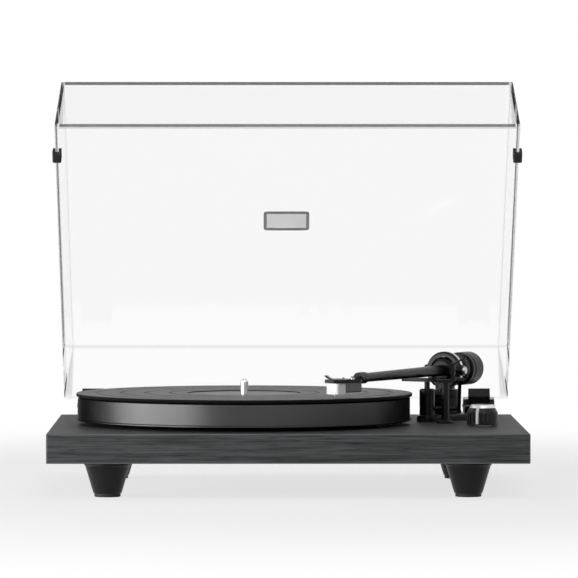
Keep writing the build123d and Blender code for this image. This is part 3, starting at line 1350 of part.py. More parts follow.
with BuildPart() as hinge_brackets:
    for hinge_x in HINGE_XS:
        bracket_plane = Plane(origin=(hinge_x, HINGE_Y, HINGE_Z), x_dir=(0, 1, 0), z_dir=(1, 0, 0))
        with BuildSketch(bracket_plane):
            Circle(EAR_R)
            with Locations((PLINTH_BACK_LOCAL + BRACKET_T + 2.2, (BRACKET_TOP + BRACKET_BOTTOM) / 2)):
                Rectangle(4.4, BRACKET_TOP - BRACKET_BOTTOM)
            make_hull()
        extrude(amount=EAR_OUT, both=True)
        with BuildSketch(bracket_plane):
            with Locations((0, (BRACKET_BOTTOM + KNUCKLE_R) / 2)):
                Rectangle(2 * EAR_R + 20, 2 * EAR_R - BRACKET_BOTTOM)
        extrude(amount=EAR_IN, both=True, mode=Mode.SUBTRACT)
        with BuildSketch(bracket_plane):
            with Locations((PLINTH_BACK_LOCAL + BRACKET_T / 2, (BRACKET_TOP + BRACKET_BOTTOM) / 2)):
                Rectangle(BRACKET_T, BRACKET_TOP - BRACKET_BOTTOM)
        extrude(amount=BRACKET_W / 2, both=True)
        with BuildSketch(bracket_plane):
            Circle(HINGE_PIN_R + SEAT_GAP)
        extrude(amount=EAR_OUT, both=True, mode=Mode.SUBTRACT)
        with BuildSketch(BACK_PLANE):
            with Locations(*((-hinge_x, z) for z in HINGE_SCREW_Z)):
                Circle(HINGE_SCREW_R + SCREW_GAP)
        extrude(amount=BRACKET_T, mode=Mode.SUBTRACT)
save(hinge_brackets.part, "hinge_brackets")

with BuildPart() as hinge_pins:
    for hinge_x in HINGE_XS:
        with BuildSketch(Plane(origin=(hinge_x, HINGE_Y, HINGE_Z), x_dir=(0, 1, 0), z_dir=(1, 0, 0))):
            Circle(HINGE_PIN_R)
        extrude(amount=EAR_OUT + 0.8, both=True)
save(hinge_pins.part, "hinge_pins")

with BuildPart() as hinge_screws:
    with BuildSketch(BACK_PLANE.offset(BRACKET_T)):
        with Locations(*((-x, z) for x in HINGE_XS for z in HINGE_SCREW_Z)):
            Circle(HINGE_SCREW_HEAD_R)
    extrude(amount=1.6)
    with BuildSketch(BACK_PLANE):
        with Locations(*((-x, z) for x in HINGE_XS for z in HINGE_SCREW_Z)):
            Circle(HINGE_SCREW_R)
    extrude(amount=BRACKET_T)
save(hinge_screws.part, "hinge_screws")
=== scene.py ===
"""Studio picture of the belt-drive record player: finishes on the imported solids, small trim and soft light.

Metres. X runs to the right, Y to the back and Z up from the surface that the feet stand on.
"""

import json
from math import atan2, pi, radians

import bmesh
import bpy
import numpy as np
from mathutils import Matrix, Vector


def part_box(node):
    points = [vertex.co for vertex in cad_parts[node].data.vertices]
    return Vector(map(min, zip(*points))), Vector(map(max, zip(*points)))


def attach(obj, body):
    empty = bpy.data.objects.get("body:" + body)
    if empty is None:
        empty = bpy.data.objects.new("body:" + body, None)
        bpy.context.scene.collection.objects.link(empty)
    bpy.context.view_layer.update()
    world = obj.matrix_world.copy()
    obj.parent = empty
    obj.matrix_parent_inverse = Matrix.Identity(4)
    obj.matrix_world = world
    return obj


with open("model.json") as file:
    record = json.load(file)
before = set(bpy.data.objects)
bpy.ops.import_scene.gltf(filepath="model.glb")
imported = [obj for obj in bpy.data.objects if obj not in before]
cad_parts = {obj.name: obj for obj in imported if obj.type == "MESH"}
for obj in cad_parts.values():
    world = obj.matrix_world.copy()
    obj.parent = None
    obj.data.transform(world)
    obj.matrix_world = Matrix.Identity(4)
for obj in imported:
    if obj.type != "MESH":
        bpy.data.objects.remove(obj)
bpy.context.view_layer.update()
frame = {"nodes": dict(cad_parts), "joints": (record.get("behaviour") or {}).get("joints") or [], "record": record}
joints = {joint["name"]: joint for joint in frame["joints"]}

# A pair of numbers is where a soft change starts and where it ends
TURN = 2 * pi
POLISH_DEPTH = 0.00001  # height of the fine lines in a polished surface
WHITE = (1, 1, 1, 1)
SEEN_RAYS = ("Is Camera Ray", "Is Glossy Ray", "Is Transmission Ray")

# Veneer on the plinth, with paler edges that are partly wear and partly painted highlight
WEAR_AND_HIGHLIGHT_EDGE = (0.0016, 0.0003)  # in from a face
VENEER_DEPTH = 0.00012

# Mat
MAT_RING_PITCH = 0.0016
MAT_BAND_PITCH = 0.019
MAT_LABEL_R = (0.0495, 0.0515)
MAT_SIDE_R = (0.1488, 0.1496)
MAT_SIDE_DROP = (0.0006, 0.0002)  # down from the mat's top
MAT_DEPTH = 0.00008

# Clear lid, measured as it is when shut; a rise is a share of its height
LID_EDGE = (0.0085, 0.0065)  # in from a wall's outer face
LID_TOP_RISE = (0.955, 0.975)
LID_RIM_RISE = (0.012, 0.03)
LID_WIDE_RIM_RISE = (0.04, 0.06)
LID_FOLD_RISE = (0.9, 0.93)
LID_FOLD_IN = (0.0095, 0.0115)  # in from the front wall's outer face
LID_CLEAR = (0.965, 0.967, 0.966, 1)
LID_PAINTED_EDGE_SHADE = (0.62, 0.625, 0.63, 1)
SCUFF_DEPTH = 0.000004

# Pale lines ruled on the force dial; x is measured along the arm from its pivot
DIAL_LINES = 40
DIAL_LINE_WIDTH = (0.06, 0.12)  # share of the space between two lines
DIAL_LINE_BACK = -0.0303
DIAL_LINE_FRONT = -0.0270
DIAL_LINE_BLUR = 0.0002

# Painted highlights: bright metal bands on the gimbal ring and on the knob's shoulder
RING_WALL_IN_R = (0.0146, 0.0150)
RING_WALL_OUT_R = (0.01705, 0.0172)
RING_REAR_X = (0.0008, 0.0012)
RING_FOOT_Z = (-0.0095, -0.0085)
KNOB_EDGE_DROP = (0.0029, 0.0026)  # down from the knob's top
KNOB_EDGE_R = (0.0085, 0.0088)
SATIN_BLACK = 0.005

# Bare badge plate, on the middle of the lid's top panel
BADGE_W = 0.042
BADGE_L = 0.0235
BADGE_T = 0.0008
BADGE_FRAME = 0.003
BADGE_BEVEL = 0.0002
BADGE_Y = -0.180
OUTLINE_POWER = 12.0
OUTLINE_POINTS = 96

# Painted highlight: a pale stripe down the selector knob's side and over its shoulder, on the land between two
# flutes
HIGHLIGHT_STRIPE_W = 0.0025
HIGHLIGHT_STRIPE_PROUD = 0.0002
HIGHLIGHT_STRIPE_SUNK = 0.0006
HIGHLIGHT_STRIPE_TURN = 22.5  # degrees to the left of straight ahead
HIGHLIGHT_STRIPE_PATH = (  # in from the knob's radius, and up from its foot
    (0.0, 0.0012),
    (0.0, 0.0106),
    (0.0002, 0.0115),
    (0.0036, 0.0176),
    (0.0040, 0.0180),
    (0.0049, 0.0180),
)

# Floor: one wide level sheet of paper, white to the camera away from the deck
FLOOR_HALF = 14.0
FLOOR_POINTS = 9
PAPER_GLOW = 0.72
PAPER_GLOW_R = (0.35, 1.1)

# Studio air: a little even light
AMBIENT = 0.13

# Camera, from the fit of the plinth, platter and lid to the photograph
CAMERA_PLACE = (-0.0270, -4.7186, 0.2955)
CAMERA_DOWN = 1.43  # degrees
CAMERA_RIGHT = 0.35  # degrees
FITTED_LENS = 114.2  # millimetres, on the sensor below
FRAMING = 2.85  # how much tighter than the photograph, about the middle of the deck
SENSOR_WIDTH = 36.0  # millimetres
FARTHEST_SEEN = 40.0


class Flow:
    """One value in a material. Python's operators on it add Math nodes."""

    def __init__(self, finish, socket):
        self.finish = finish
        self.socket = socket

    def maths(self, operation, *values):
        return self.finish.node("ShaderNodeMath", {"operation": operation}, dict(enumerate(values)))

    def __add__(self, other):
        return self.maths("ADD", self, other)

    def __radd__(self, other):
        return self.maths("ADD", other, self)

    def __sub__(self, other):
        return self.maths("SUBTRACT", self, other)

    def __rsub__(self, other):
        return self.maths("SUBTRACT", other, self)

    def __mul__(self, other):
        return self.maths("MULTIPLY", self, other)

    def __rmul__(self, other):
        return self.maths("MULTIPLY", other, self)

    def __truediv__(self, other):
        return self.maths("DIVIDE", self, other)

    def __pow__(self, other):
        return self.maths("POWER", self, other)

    def __abs__(self):
        return self.maths("ABSOLUTE", self)

    def least(self, other):
        return self.maths("MINIMUM", self, other)

    def most(self, other):
        return self.maths("MAXIMUM", self, other)

    def wave(self, pitch):
        """Goes from 0 to 1 and back once in each pitch."""
        return self.maths("SINE", self * (TURN / pitch)) * 0.5 + 0.5

    def step(self, start, end):
        """Rises smoothly from 0 at start to 1 at end."""
        settings = {"interpolation_type": "SMOOTHSTEP"}
        sockets = {"Value": self, "From Min": start, "From Max": end}
        return self.finish.node("ShaderNodeMapRange", settings, sockets)


class Nodes:
    """A node tree, and the one means to add nodes to it."""

    def __init__(self, tree):
        self.tree = tree

    def node(self, kind, settings=None, sockets=None, out=0):
        """Add a node, set it up, then fill or link its sockets; gives one output."""
        made = self.tree.nodes.new(kind)
        for key, value in (settings or {}).items():
            setattr(made, key, value)
        for key, value in (sockets or {}).items():
            if isinstance(value, Flow):
                self.tree.links.new(value.socket, made.inputs[key])
            else:
                made.inputs[key].default_value = value
        return Flow(self, made.outputs[out])

    def seen(self):
        """1 for what the camera sees straight, in a reflection or through the clear lid."""
        first, second, third = (self.node("ShaderNodeLightPath", out=kind) for kind in SEEN_RAYS)
        return first.most(second).most(third)


class Finish(Nodes):
    """One material: a Principled shader with constants on its sockets."""

    def __init__(self, name, **constants):
        self.material = bpy.data.materials.new(name)
        self.material.use_nodes = True
        super().__init__(self.material.node_tree)
        self.shader = self.tree.nodes["Principled BSDF"]
        for socket, value in constants.items():
            self.shader.inputs[socket.replace("_", " ")].default_value = value

    def feed(self, **links):
        """Link values to the shader's sockets."""
        for socket, value in links.items():
            self.tree.links.new(value.socket, self.shader.inputs[socket.replace("_", " ")])

    def place(self, shift=(0, 0, 0), turn=(0, 0, 0), scale=(1, 1, 1)):
        """Object coordinates, scaled, turned and shifted."""
        coordinates = self.node("ShaderNodeTexCoord", out="Object")
        settings = {"vector_type": "POINT"}
        sockets = {"Vector": coordinates, "Location": shift, "Rotation": turn, "Scale": scale}
        return self.node("ShaderNodeMapping", settings, sockets)

    def split(self, vector):
        """The three parts of a vector."""
        first = self.node("ShaderNodeSeparateXYZ", None, {"Vector": vector})
        outputs = first.socket.node.outputs
        return first, Flow(self, outputs[1]), Flow(self, outputs[2])

    def from_axis(self, centre):
        """Distance from the upright line through a point, and height above the floor."""
        x, y, z = self.split(self.place(shift=(-centre.x, -centre.y, 0)))
        return (x * x + y * y) ** 0.5, z

    def noise(self, vector, scale, detail=2.0, roughness=0.5):
        """Cloudy noise from 0 to 1."""
        sockets = {"Vector": vector, "Scale": scale, "Detail": detail, "Roughness": roughness}
        return self.node("ShaderNodeTexNoise", None, sockets)

    def blend(self, share, first, second):
        """Mix two colours by a share from 0 to 1."""
        settings = {"data_type": "RGBA"}
        return self.node("ShaderNodeMix", settings, {"Factor": share, 6: first, 7: second}, out=2)

    def bump(self, height, distance, strength=1.0):
        """Raise the surface by a height from 0 to 1, times a distance in metres."""
        sockets = {"Height": height, "Distance": distance, "Strength": strength}
        self.feed(Normal=self.node("ShaderNodeBump", None, sockets))


def grey(level, warm=0.0):
    """A neutral colour, a little warmer or cooler."""
    return (level * (1 + warm), level, level * (1 - warm), 1.0)


def shade(colour, factor):
    """A colour made darker or paler."""
    return tuple(part * factor for part in colour[:3]) + (1.0,)


def middle(node):
    """Centre of a node's box."""
    low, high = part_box(node)
    return (low + high) / 2


# Where things are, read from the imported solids
plinth_low, plinth_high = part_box("plinth")
spindle_place = middle("spindle")
mat_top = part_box("mat")[1].z
knob_low, knob_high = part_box("selector_knob")
knob_place = (knob_low + knob_high) / 2
knob_r = (knob_high.x - knob_low.x) / 2
lid_turn = joints["lid_turn"]
lid_open = -radians(lid_turn["range_deg"][0])
shut_to_open = Matrix.Translation(Vector(lid_turn["pos_m"])) @ Matrix.Rotation(-lid_open, 4, "X")
open_to_shut = shut_to_open.inverted()
lid_points = np.array([open_to_shut @ vertex.co for vertex in frame["nodes"]["lid"].data.vertices])
lid_low = lid_points.min(0).tolist()
lid_high = lid_points.max(0).tolist()


def in_lid(finish):
    """Coordinates from the hinge line, as the lid is when shut."""
    return finish.split(finish.place(shift=tuple(open_to_shut.to_translation()), turn=(lid_open, 0, 0)))


def along_arm(finish):
    """Coordinates from the arm's pivot: along the arm, across it and up."""
    dial_turn = joints["dial_turn"]
    ahead = Vector(dial_turn["axis"])
    level_turn = Matrix.Rotation(-atan2(ahead.y, ahead.x), 4, "Z")
    to_arm = level_turn @ Matrix.Translation(-Vector(dial_turn["pos_m"]))
    return finish.split(finish.place(shift=tuple(to_arm.to_translation()), turn=tuple(to_arm.to_euler())))


def moulded(name, colour, roughness, speck, depth, specular=0.5, spread=0.18):
    """Moulded or coated surface: fine speckle in colour, gloss and height."""
    finish = Finish(name, Specular_IOR_Level=specular)
    place = finish.place()
    fine = finish.noise(place, speck, detail=3.0)
    broad = finish.noise(place, speck / 30)
    share = fine * 0.6 + broad * 0.4
    finish.feed(Base_Color=finish.blend(share, shade(colour, 1 - spread), shade(colour, 1 + spread)))
    finish.feed(Roughness=roughness + 0.14 * (share - 0.5))
    finish.bump(fine, depth)
    return finish.material


def turned(name, colour, roughness, centre, pitch=0.0006, **constants):
    """Metal turned on a lathe: faint rings about a centre line, and a little haze."""
    finish = Finish(name, Metallic=1.0, **constants)
    radius, z = finish.from_axis(centre)
    rings = (radius + z).wave(pitch)
    haze = finish.noise(finish.place(), 60.0, detail=3.0)
    share = rings * 0.35 + haze * 0.65
    finish.feed(Base_Color=finish.blend(share, shade(colour, 0.8), colour))
    finish.feed(Roughness=roughness + 0.12 * (haze - 0.5))
    finish.bump(rings, POLISH_DEPTH)
    return finish.material


def brushed(name, colour, roughness, along=(1, 40, 40)):
    """Plated or drawn metal: fine lines one way, and a little haze."""
    finish = Finish(name, Metallic=1.0)
    lines = finish.noise(finish.place(scale=along), 300.0, detail=3.0)
    haze = finish.noise(finish.place(), 90.0)
    finish.feed(Base_Color=finish.blend(lines * 0.5 + haze * 0.5, shade(colour, 0.72), colour))
    finish.feed(Roughness=roughness + 0.16 * (lines - 0.5))
    finish.bump(lines, POLISH_DEPTH)
    return finish.material


def black_ash():
    """Black stained ash veneer: long grain across the deck, open pores, and paler edges that are partly wear and
    partly painted highlight.
    """
    finish = Finish("black_ash", Specular_IOR_Level=0.04)
    drift = finish.noise(finish.place(scale=(2, 30, 30)), 8.0, detail=3.0)
    streaks = finish.noise(finish.place(scale=(14, 620, 620)), 1.0, detail=5.0, roughness=0.62)
    pores = finish.noise(finish.place(scale=(45, 900, 900)), 1.0)
    open_pores = pores.step(0.56, 0.7)
    grain = streaks * 0.7 + drift * 0.3
    tone = finish.blend(grain.step(0.34, 0.68), grey(0.043, -0.02), grey(0.104, -0.025))
    pored = finish.blend(open_pores * 0.5, tone, grey(0.02))
    centre = (plinth_low + plinth_high) / 2
    half = (plinth_high - plinth_low) / 2
    near_x, near_y, near_z = (
        abs(value - middle_value).step(half_size - WEAR_AND_HIGHLIGHT_EDGE[0], half_size - WEAR_AND_HIGHLIGHT_EDGE[1])
        for value, middle_value, half_size in zip(finish.split(finish.place()), centre, half)
    )
    edge = near_x.least(near_y).most(near_y.least(near_z)).most(near_x.least(near_z))
    # Paler edges: partly wear, partly a painted highlight along the plinth's edges
    wear_and_highlight = edge * (0.35 + 0.65 * drift)
    finish.feed(Base_Color=finish.blend(wear_and_highlight, pored, grey(0.2, -0.01)))
    finish.feed(Roughness=0.5 + 0.18 * (streaks - 0.5) + 0.12 * open_pores)
    finish.bump(streaks - open_pores * 0.6, VENEER_DEPTH, strength=0.6)
    return finish.material


def ringed_mat():
    """Moulded mat: fine rings about the spindle, a smoother paler middle, and painted shade that makes its side
    near black.
    """
    finish = Finish("mat_rubber", Specular_IOR_Level=0.08)
    radius, z = finish.from_axis(spindle_place)
    rings = radius.wave(MAT_RING_PITCH)
    bands = radius.wave(MAT_BAND_PITCH)
    haze = finish.noise(finish.place(), 22.0, detail=3.0)
    fine = finish.noise(finish.place(), 1400.0)
    label = 1 - radius.step(*MAT_LABEL_R)
    below_top = 1 - z.step(mat_top - MAT_SIDE_DROP[0], mat_top - MAT_SIDE_DROP[1])
    # Painted shade: the mat's side is made near black and rough
    painted_shade_side = radius.step(*MAT_SIDE_R) * below_top
    tone = finish.blend(haze * 0.5 + bands * 0.3 + fine * 0.2, grey(0.016), grey(0.036))
    topped = finish.blend(label * 0.55, tone, grey(0.085))
    finish.feed(Base_Color=finish.blend(painted_shade_side, topped, grey(0.004)))
    finish.feed(Roughness=0.36 + 0.1 * (haze - 0.5) + 0.06 * rings - 0.05 * label + 0.4 * painted_shade_side)
    finish.bump(rings * (1 - label) * 0.8 + fine * 0.2, MAT_DEPTH, strength=0.7)
    return finish.material


def clear_lid():
    """Clear acrylic: polished faces, painted grey shade along the edges where one looks into them, and a few fine
    scuffs.
    """
    finish = Finish("clear_acrylic", IOR=1.3, Transmission_Weight=1.0)
    x, y, z = in_lid(finish)
    rise = (z - lid_low[2]) / (lid_high[2] - lid_low[2])
    # Painted shade: a grey tint along the lid's edges, strongest at the front and corners and faint at the back
    near_side = abs(x).step(lid_high[0] - LID_EDGE[0], lid_high[0] - LID_EDGE[1])
    near_front = 1 - y.step(lid_low[1] + LID_EDGE[1], lid_low[1] + LID_EDGE[0])
    near_back = y.step(lid_high[1] - LID_EDGE[0], lid_high[1] - LID_EDGE[1])
    near_top = rise.step(*LID_TOP_RISE)
    near_rim = 1 - rise.step(*LID_RIM_RISE)
    rim = 0.3 * near_rim * (1 - 0.85 * near_back)
    front_edges = near_front.least(near_top) * 0.8
    corners = near_side.least(near_front) * 0.9
    side_edges = near_side.least(near_top) * 0.5 * (1 - near_back)
    back_edges = near_back.least(near_top.most(near_side)) * 0.7
    edge = rim.most(front_edges).most(corners).most(side_edges).most(back_edges)
    # Rays pass straight through a share of the rim and the front fold, which keeps those lines pale
    wide_rim = 1 - rise.step(*LID_WIDE_RIM_RISE)
    behind_front = y.step(lid_low[1] + LID_FOLD_IN[0], lid_low[1] + LID_FOLD_IN[1])
    fold = rise.step(*LID_FOLD_RISE).least(1 - behind_front)
    leak = (0.75 * wide_rim).most(0.1 * fold).most(0.78 * wide_rim * near_back)
    scuffs = finish.noise(finish.place(scale=(1, 30, 30)), 60.0, detail=4.0).step(0.66, 0.8)
    finish.feed(Base_Color=finish.blend(edge, LID_CLEAR, LID_PAINTED_EDGE_SHADE))
    finish.feed(Alpha=1 - leak)
    finish.feed(Roughness=0.012 + 0.03 * scuffs)
    finish.bump(scuffs, SCUFF_DEPTH, strength=0.4)
    return finish.material


def marked_dial():
    """Black dial: fine turned gloss, with pale lines ruled all round its band."""
    finish = Finish("dial_black", Specular_IOR_Level=0.45)
    x, y, z = along_arm(finish)
    share = z.maths("ARCTAN2", z, y) * (DIAL_LINES / TURN) + DIAL_LINES
    from_line = abs(share.maths("FRACT", share) - 0.5)
    line = 1 - from_line.step(*DIAL_LINE_WIDTH)
    ahead_of_back = x.step(DIAL_LINE_BACK - DIAL_LINE_BLUR, DIAL_LINE_BACK)
    ahead_of_front = x.step(DIAL_LINE_FRONT, DIAL_LINE_FRONT + DIAL_LINE_BLUR)
    band = ahead_of_back * (1 - ahead_of_front)
    brush = finish.noise(finish.place(), 500.0, detail=3.0)
    black = finish.blend(brush, grey(0.006), grey(0.012))
    finish.feed(Base_Color=finish.blend(line * band, black, grey(0.7)))
    finish.feed(Roughness=0.2 + 0.1 * brush)
    finish.bump(brush, POLISH_DEPTH)
    return finish.material


def highlight_banded(name, bright, specular):
    """Satin black with a painted highlight as a bright metal band, where bright gives the band's share in a
    finish.
    """
    finish = Finish(name, Specular_IOR_Level=specular)
    share = bright(finish)
    fine = finish.noise(finish.place(), 1200.0, detail=3.0)
    dark = finish.blend(fine, grey(SATIN_BLACK * 0.8), grey(SATIN_BLACK * 1.2))
    metal = finish.blend(fine, grey(0.6), grey(0.75))
    finish.feed(Base_Color=finish.blend(share, dark, metal))
    finish.feed(Metallic=share)
    finish.feed(Roughness=0.26 + 0.14 * share + 0.08 * (fine - 0.5))
    finish.bump(fine, POLISH_DEPTH)
    return finish.material


def ring_highlight_band(finish):
    """Where the painted highlight goes: the rear half of the gimbal ring's outer wall, clear of its bosses and
    foot.
    """
    x, y, z = along_arm(finish)
    radius = (y * y + z * z) ** 0.5
    wall = radius.step(*RING_WALL_IN_R) * (1 - radius.step(*RING_WALL_OUT_R))
    return wall * (1 - x.step(*RING_REAR_X)) * z.step(*RING_FOOT_Z)


def knob_highlight_band(finish):
    """Where the painted highlight goes: the top of the knob's shoulder and its raised rim."""
    radius, z = finish.from_axis(knob_place)
    near_top = z.step(knob_high.z - KNOB_EDGE_DROP[0], knob_high.z - KNOB_EDGE_DROP[1])
    return near_top * radius.step(*KNOB_EDGE_R)


def bare_plate():
    """Bare badge plate: pale frosted middle inside a dark frame, with a faint brush."""
    finish = Finish("bare_plate")
    x, y, _ = in_lid(finish)
    half_w = BADGE_W / 2 - BADGE_FRAME
    half_l = BADGE_L / 2 - BADGE_FRAME
    in_x = 1 - abs(x).step(half_w, half_w + BADGE_BEVEL)
    in_y = 1 - abs(y - BADGE_Y).step(half_l, half_l + BADGE_BEVEL)
    brush = finish.noise(finish.place(scale=(1, 30, 30)), 400.0, detail=3.0)
    pale = finish.blend(brush, grey(0.78), grey(0.9))
    finish.feed(Base_Color=finish.blend(in_x * in_y, grey(0.12), pale))
    finish.feed(Alpha=0.75 - 0.05 * in_x * in_y)
    finish.feed(Roughness=0.42 + 0.15 * (brush - 0.5))
    finish.bump(brush, POLISH_DEPTH)
    return finish.material


# Moulded and coated surfaces: colour, roughness, scale of the speckle, its height, and where they differ from
# the usual ones the specular level and the spread of the colour
MOULDED = {
    "foot_plastic": (grey(0.007), 0.38, 700, 0.00004, 0.2),
    "rubber_black": (grey(0.012), 0.6, 1200, 0.00004, 0.3),
    "belt_rubber": (grey(0.01), 0.6, 1600, 0.00004, 0.3),
    "plastic_black": (grey(0.006), 0.36, 1100, 0.00004, 0.16),
    "hinge_black": (grey(0.008), 0.38, 900, 0.00004, 0.16),
    "sheet_black": (grey(0.02), 0.5, 1500, 0.00006),
    "arm_black": (grey(0.003), 0.28, 1300, 0.000005, 0.14),
    "weight_black": (grey(0.003), 0.34, 1300, 0.00001, 0.18),
    "board_green": ((0.02, 0.12, 0.045, 1), 0.4, 300, 0.00004),
    "stylus_white": (grey(0.82, 0.01), 0.35, 900, 0.00002, 0.5, 0.03),
    # Pale colour of the painted highlight stripe on the knob
    "painted_highlight_white": (grey(0.75), 0.4, 900, 0.00001, 0.5, 0.04),
    "cartridge_grey": (grey(0.09), 0.28, 1100, 0.00001),
}
finishes = {name: moulded(name, *values) for name, values in MOULDED.items()} | {
    "black_ash": black_ash(),
    "mat_rubber": ringed_mat(),
    "clear_acrylic": clear_lid(),
    "dial_black": marked_dial(),
    # The knob carries a painted highlight as a bright metal band on its shoulder
    "knob_black": highlight_banded("knob_black", knob_highlight_band, 0.25),
    "platter_black": turned(
        "platter_black", grey(0.062), 0.36, spindle_place, pitch=0.0009, Specular_Tint=grey(0.1)
    ),
    "brass": turned("brass", (0.62, 0.42, 0.16, 1), 0.3, spindle_place),
    "pulley_alloy": turned("pulley_alloy", grey(0.72), 0.28, middle("motor_pulley")),
    "polished_steel": turned("polished_steel", grey(0.78), 0.12, spindle_place, pitch=0.0004),
    "gold_plate": brushed("gold_plate", (0.78, 0.55, 0.2, 1), 0.2),
    "screw_steel": brushed("screw_steel", grey(0.55), 0.3),
    "motor_steel": brushed("motor_steel", grey(0.5), 0.35, along=(40, 40, 1)),
    "grey_metal": brushed("grey_metal", grey(0.45), 0.35),
}
# Two nodes look unlike the rest of their slot
node_finishes = {
    # The gimbal ring carries a painted highlight as a bright metal band on its rear half
    "gimbal_ring": highlight_banded("gimbal_black", ring_highlight_band, 0.16),
    "cartridge": finishes["cartridge_grey"],
}
for subpart in frame["record"]["subparts"]:
    name = subpart["node"]
    mesh = frame["nodes"][name].data
    mesh.materials.clear()
    mesh.materials.append(node_finishes.get(name, finishes[subpart["material_slot"]]))
frame["nodes"]["lid"].visible_shadow = False


def surface(name, points, material, body=None, looped=False):
    """A piece from a grid of points: neighbours share a four-sided face, and looped rows close up."""
    rows, columns = points.shape[:2]
    number = np.arange(rows * columns).reshape(rows, columns)
    across = np.hstack([number, number[:, :1]]) if looped else number
    faces = np.stack([across[:-1, :-1], across[1:, :-1], across[1:, 1:], across[:-1, 1:]], axis=-1)
    mesh = bpy.data.meshes.new(name)
    mesh.from_pydata(points.reshape(-1, 3).tolist(), [], faces.reshape(-1, 4).tolist())
    joined = bmesh.new()
    joined.from_mesh(mesh)
    bmesh.ops.remove_doubles(joined, verts=joined.verts, dist=1e-7)
    bmesh.ops.recalc_face_normals(joined, faces=joined.faces)
    joined.to_mesh(mesh)
    joined.free()
    mesh.materials.append(material)
    piece = bpy.data.objects.new(name, mesh)
    bpy.context.scene.collection.objects.link(piece)
    if body:
        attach(piece, body)
    return piece


def plate(width, length, rings):
    """Rounded rectangle |x|^n + |y|^n = 1, drawn in by each ring's inset and raised by its height."""
    around = np.linspace(0, TURN, OUTLINE_POINTS, endpoint=False)
    corner_x = np.sign(np.cos(around)) * np.abs(np.cos(around)) ** (2 / OUTLINE_POWER)
    corner_y = np.sign(np.sin(around)) * np.abs(np.sin(around)) ** (2 / OUTLINE_POWER)
    inset, height = np.array(rings).T
    x = (width / 2 - inset)[:, None] * corner_x
    y = (length / 2 - inset)[:, None] * corner_y
    return np.stack([x, y, np.repeat(height[:, None], len(around), axis=1)], axis=-1)


def highlight_stripe():
    """A flat bar for the painted highlight, carried along the knob's outline: the section stands across the path's
    own normal.
    """
    path = np.array([(knob_r - inset, height) for inset, height in HIGHLIGHT_STRIPE_PATH])
    along = np.gradient(path, axis=0)
    along /= np.linalg.norm(along, axis=1)[:, None]
    normal = np.stack([along[:, 1], -along[:, 0]], axis=-1)
    across = np.array([-0.5, 0.5, 0.5, -0.5]) * HIGHLIGHT_STRIPE_W
    off = np.array([HIGHLIGHT_STRIPE_PROUD, HIGHLIGHT_STRIPE_PROUD, -HIGHLIGHT_STRIPE_SUNK, -HIGHLIGHT_STRIPE_SUNK])
    rows = path[:, None, :] + off[None, :, None] * normal[:, None, :]
    bar = np.stack([np.repeat(across[None, :], len(path), axis=0), -rows[..., 0], rows[..., 1]], axis=-1)
    ends = [np.repeat(bar[row].mean(0)[None, None, :], len(across), axis=1) for row in (0, -1)]
    return np.concatenate([ends[0], bar, ends[1]])


def level():
    """Points at height 0, evenly over a square."""
    across = np.linspace(-FLOOR_HALF, FLOOR_HALF, FLOOR_POINTS)
    x, y = np.meshgrid(across, across)
    return np.stack([x, y, np.zeros_like(x)], axis=-1)


def carried(points, matrix):
    """Move a grid of points by a matrix."""
    rotation = np.array(matrix.to_3x3())
    return points @ rotation.T + np.array(matrix.to_translation())


def paper():
    """White paper: matt, faintly mottled, and white to the camera and to reflections."""
    finish = Finish("paper", Roughness=0.9)
    mottle = finish.noise(finish.place(), 4.0, detail=3.0)
    finish.feed(Base_Color=finish.blend(mottle, grey(0.84), grey(0.88)))
    away, _ = finish.from_axis(Vector((0, 0, 0)))
    white = PAPER_GLOW + (1 - PAPER_GLOW) * away.step(*PAPER_GLOW_R)
    glow = finish.node("ShaderNodeEmission", None, {"Color": WHITE, "Strength": 1.0})
    share = finish.node("ShaderNodeMixShader", None, {0: finish.seen() * white, 2: glow})
    finish.tree.links.new(finish.shader.outputs[0], share.socket.node.inputs[1])
    finish.tree.links.new(share.socket, finish.tree.nodes["Material Output"].inputs["Surface"])
    return finish.material


badge_rings = [  # inset and height, from the sunk middle over the frame to the foot
    (BADGE_L / 2, BADGE_T * 0.6),
    (BADGE_FRAME + BADGE_BEVEL, BADGE_T * 0.6),
    (BADGE_FRAME, BADGE_T),
    (BADGE_BEVEL, BADGE_T),
    (0.0, BADGE_T * 0.75),
    (0.0, 0.0),
    (BADGE_L / 2, 0.0),
]
badge_place = shut_to_open @ Matrix.Translation((0, BADGE_Y, lid_high[2]))
badge_points = carried(plate(BADGE_W, BADGE_L, badge_rings), badge_place)
surface("badge_plate", badge_points, bare_plate(), "lid", looped=True)

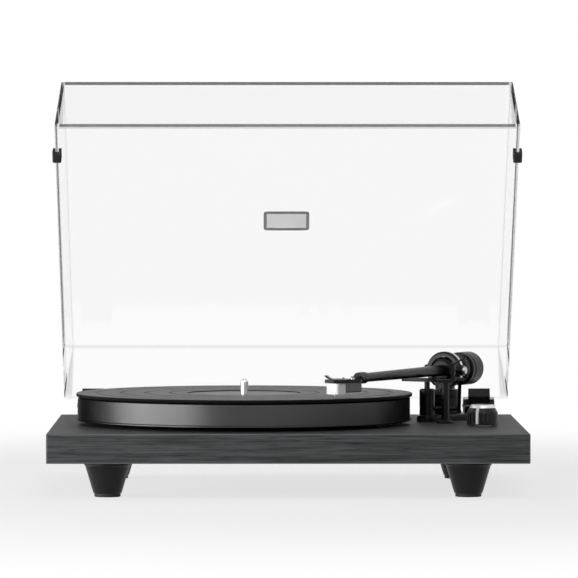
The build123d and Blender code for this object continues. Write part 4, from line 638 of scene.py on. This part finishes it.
# Painted highlight: a pale stripe on the knob's side
knob_foot = Vector((knob_place.x, knob_place.y, knob_low.z))
highlight_stripe_place = Matrix.Translation(knob_foot) @ Matrix.Rotation(-radians(HIGHLIGHT_STRIPE_TURN), 4, "Z")
highlight_stripe_points = carried(highlight_stripe(), highlight_stripe_place)
surface("knob_highlight_stripe", highlight_stripe_points, finishes["painted_highlight_white"], "selector", looped=True)

floor = surface("floor", level(), paper())


def lamp(name, place, aim, width, height, power):
    """Soft light from a flat panel."""
    data = bpy.data.lights.new(name, "AREA")
    data.shape = "RECTANGLE"
    data.size = width
    data.size_y = height
    data.energy = power
    light = bpy.data.objects.new(name, data)
    light.location = place
    light.rotation_euler = (Vector(aim) - Vector(place)).to_track_quat("-Z", "Y").to_euler()
    bpy.context.scene.collection.objects.link(light)


deck = (0.0, 0.0, 0.1)
platter_side = (spindle_place.x, spindle_place.y, 0.15)
lamp("window", (-2.9, -0.95, 0.7), deck, width=1.4, height=1.4, power=14)
lamp("room", (0.9, -3.4, 2.0), deck, width=2.0, height=2.0, power=25)
lamp("overhead", (0.25, -1.7, 2.7), deck, width=1.4, height=0.6, power=5)
lamp("low_window", (-1.10, -0.587, 0.15), platter_side, width=1.5, height=0.28, power=14.5)

# White where the camera, the clear lid or a reflection looks past the floor
world = bpy.data.worlds.new("studio")
world.use_nodes = True
strength = AMBIENT + (1 - AMBIENT) * Nodes(world.node_tree).seen()
background = world.node_tree.nodes["Background"]
background.inputs["Color"].default_value = WHITE
world.node_tree.links.new(strength.socket, background.inputs["Strength"])
bpy.context.scene.world = world

camera_data = bpy.data.cameras.new("camera")
camera_data.sensor_width = SENSOR_WIDTH
camera_data.lens = FITTED_LENS * FRAMING
camera_data.clip_end = FARTHEST_SEEN
camera = bpy.data.objects.new("camera", camera_data)
camera.location = CAMERA_PLACE
camera.rotation_euler = (radians(90 - CAMERA_DOWN), 0, -radians(CAMERA_RIGHT))
bpy.context.scene.collection.objects.link(camera)
bpy.context.scene.camera = camera
bpy.context.scene.view_settings.view_transform = "Standard"
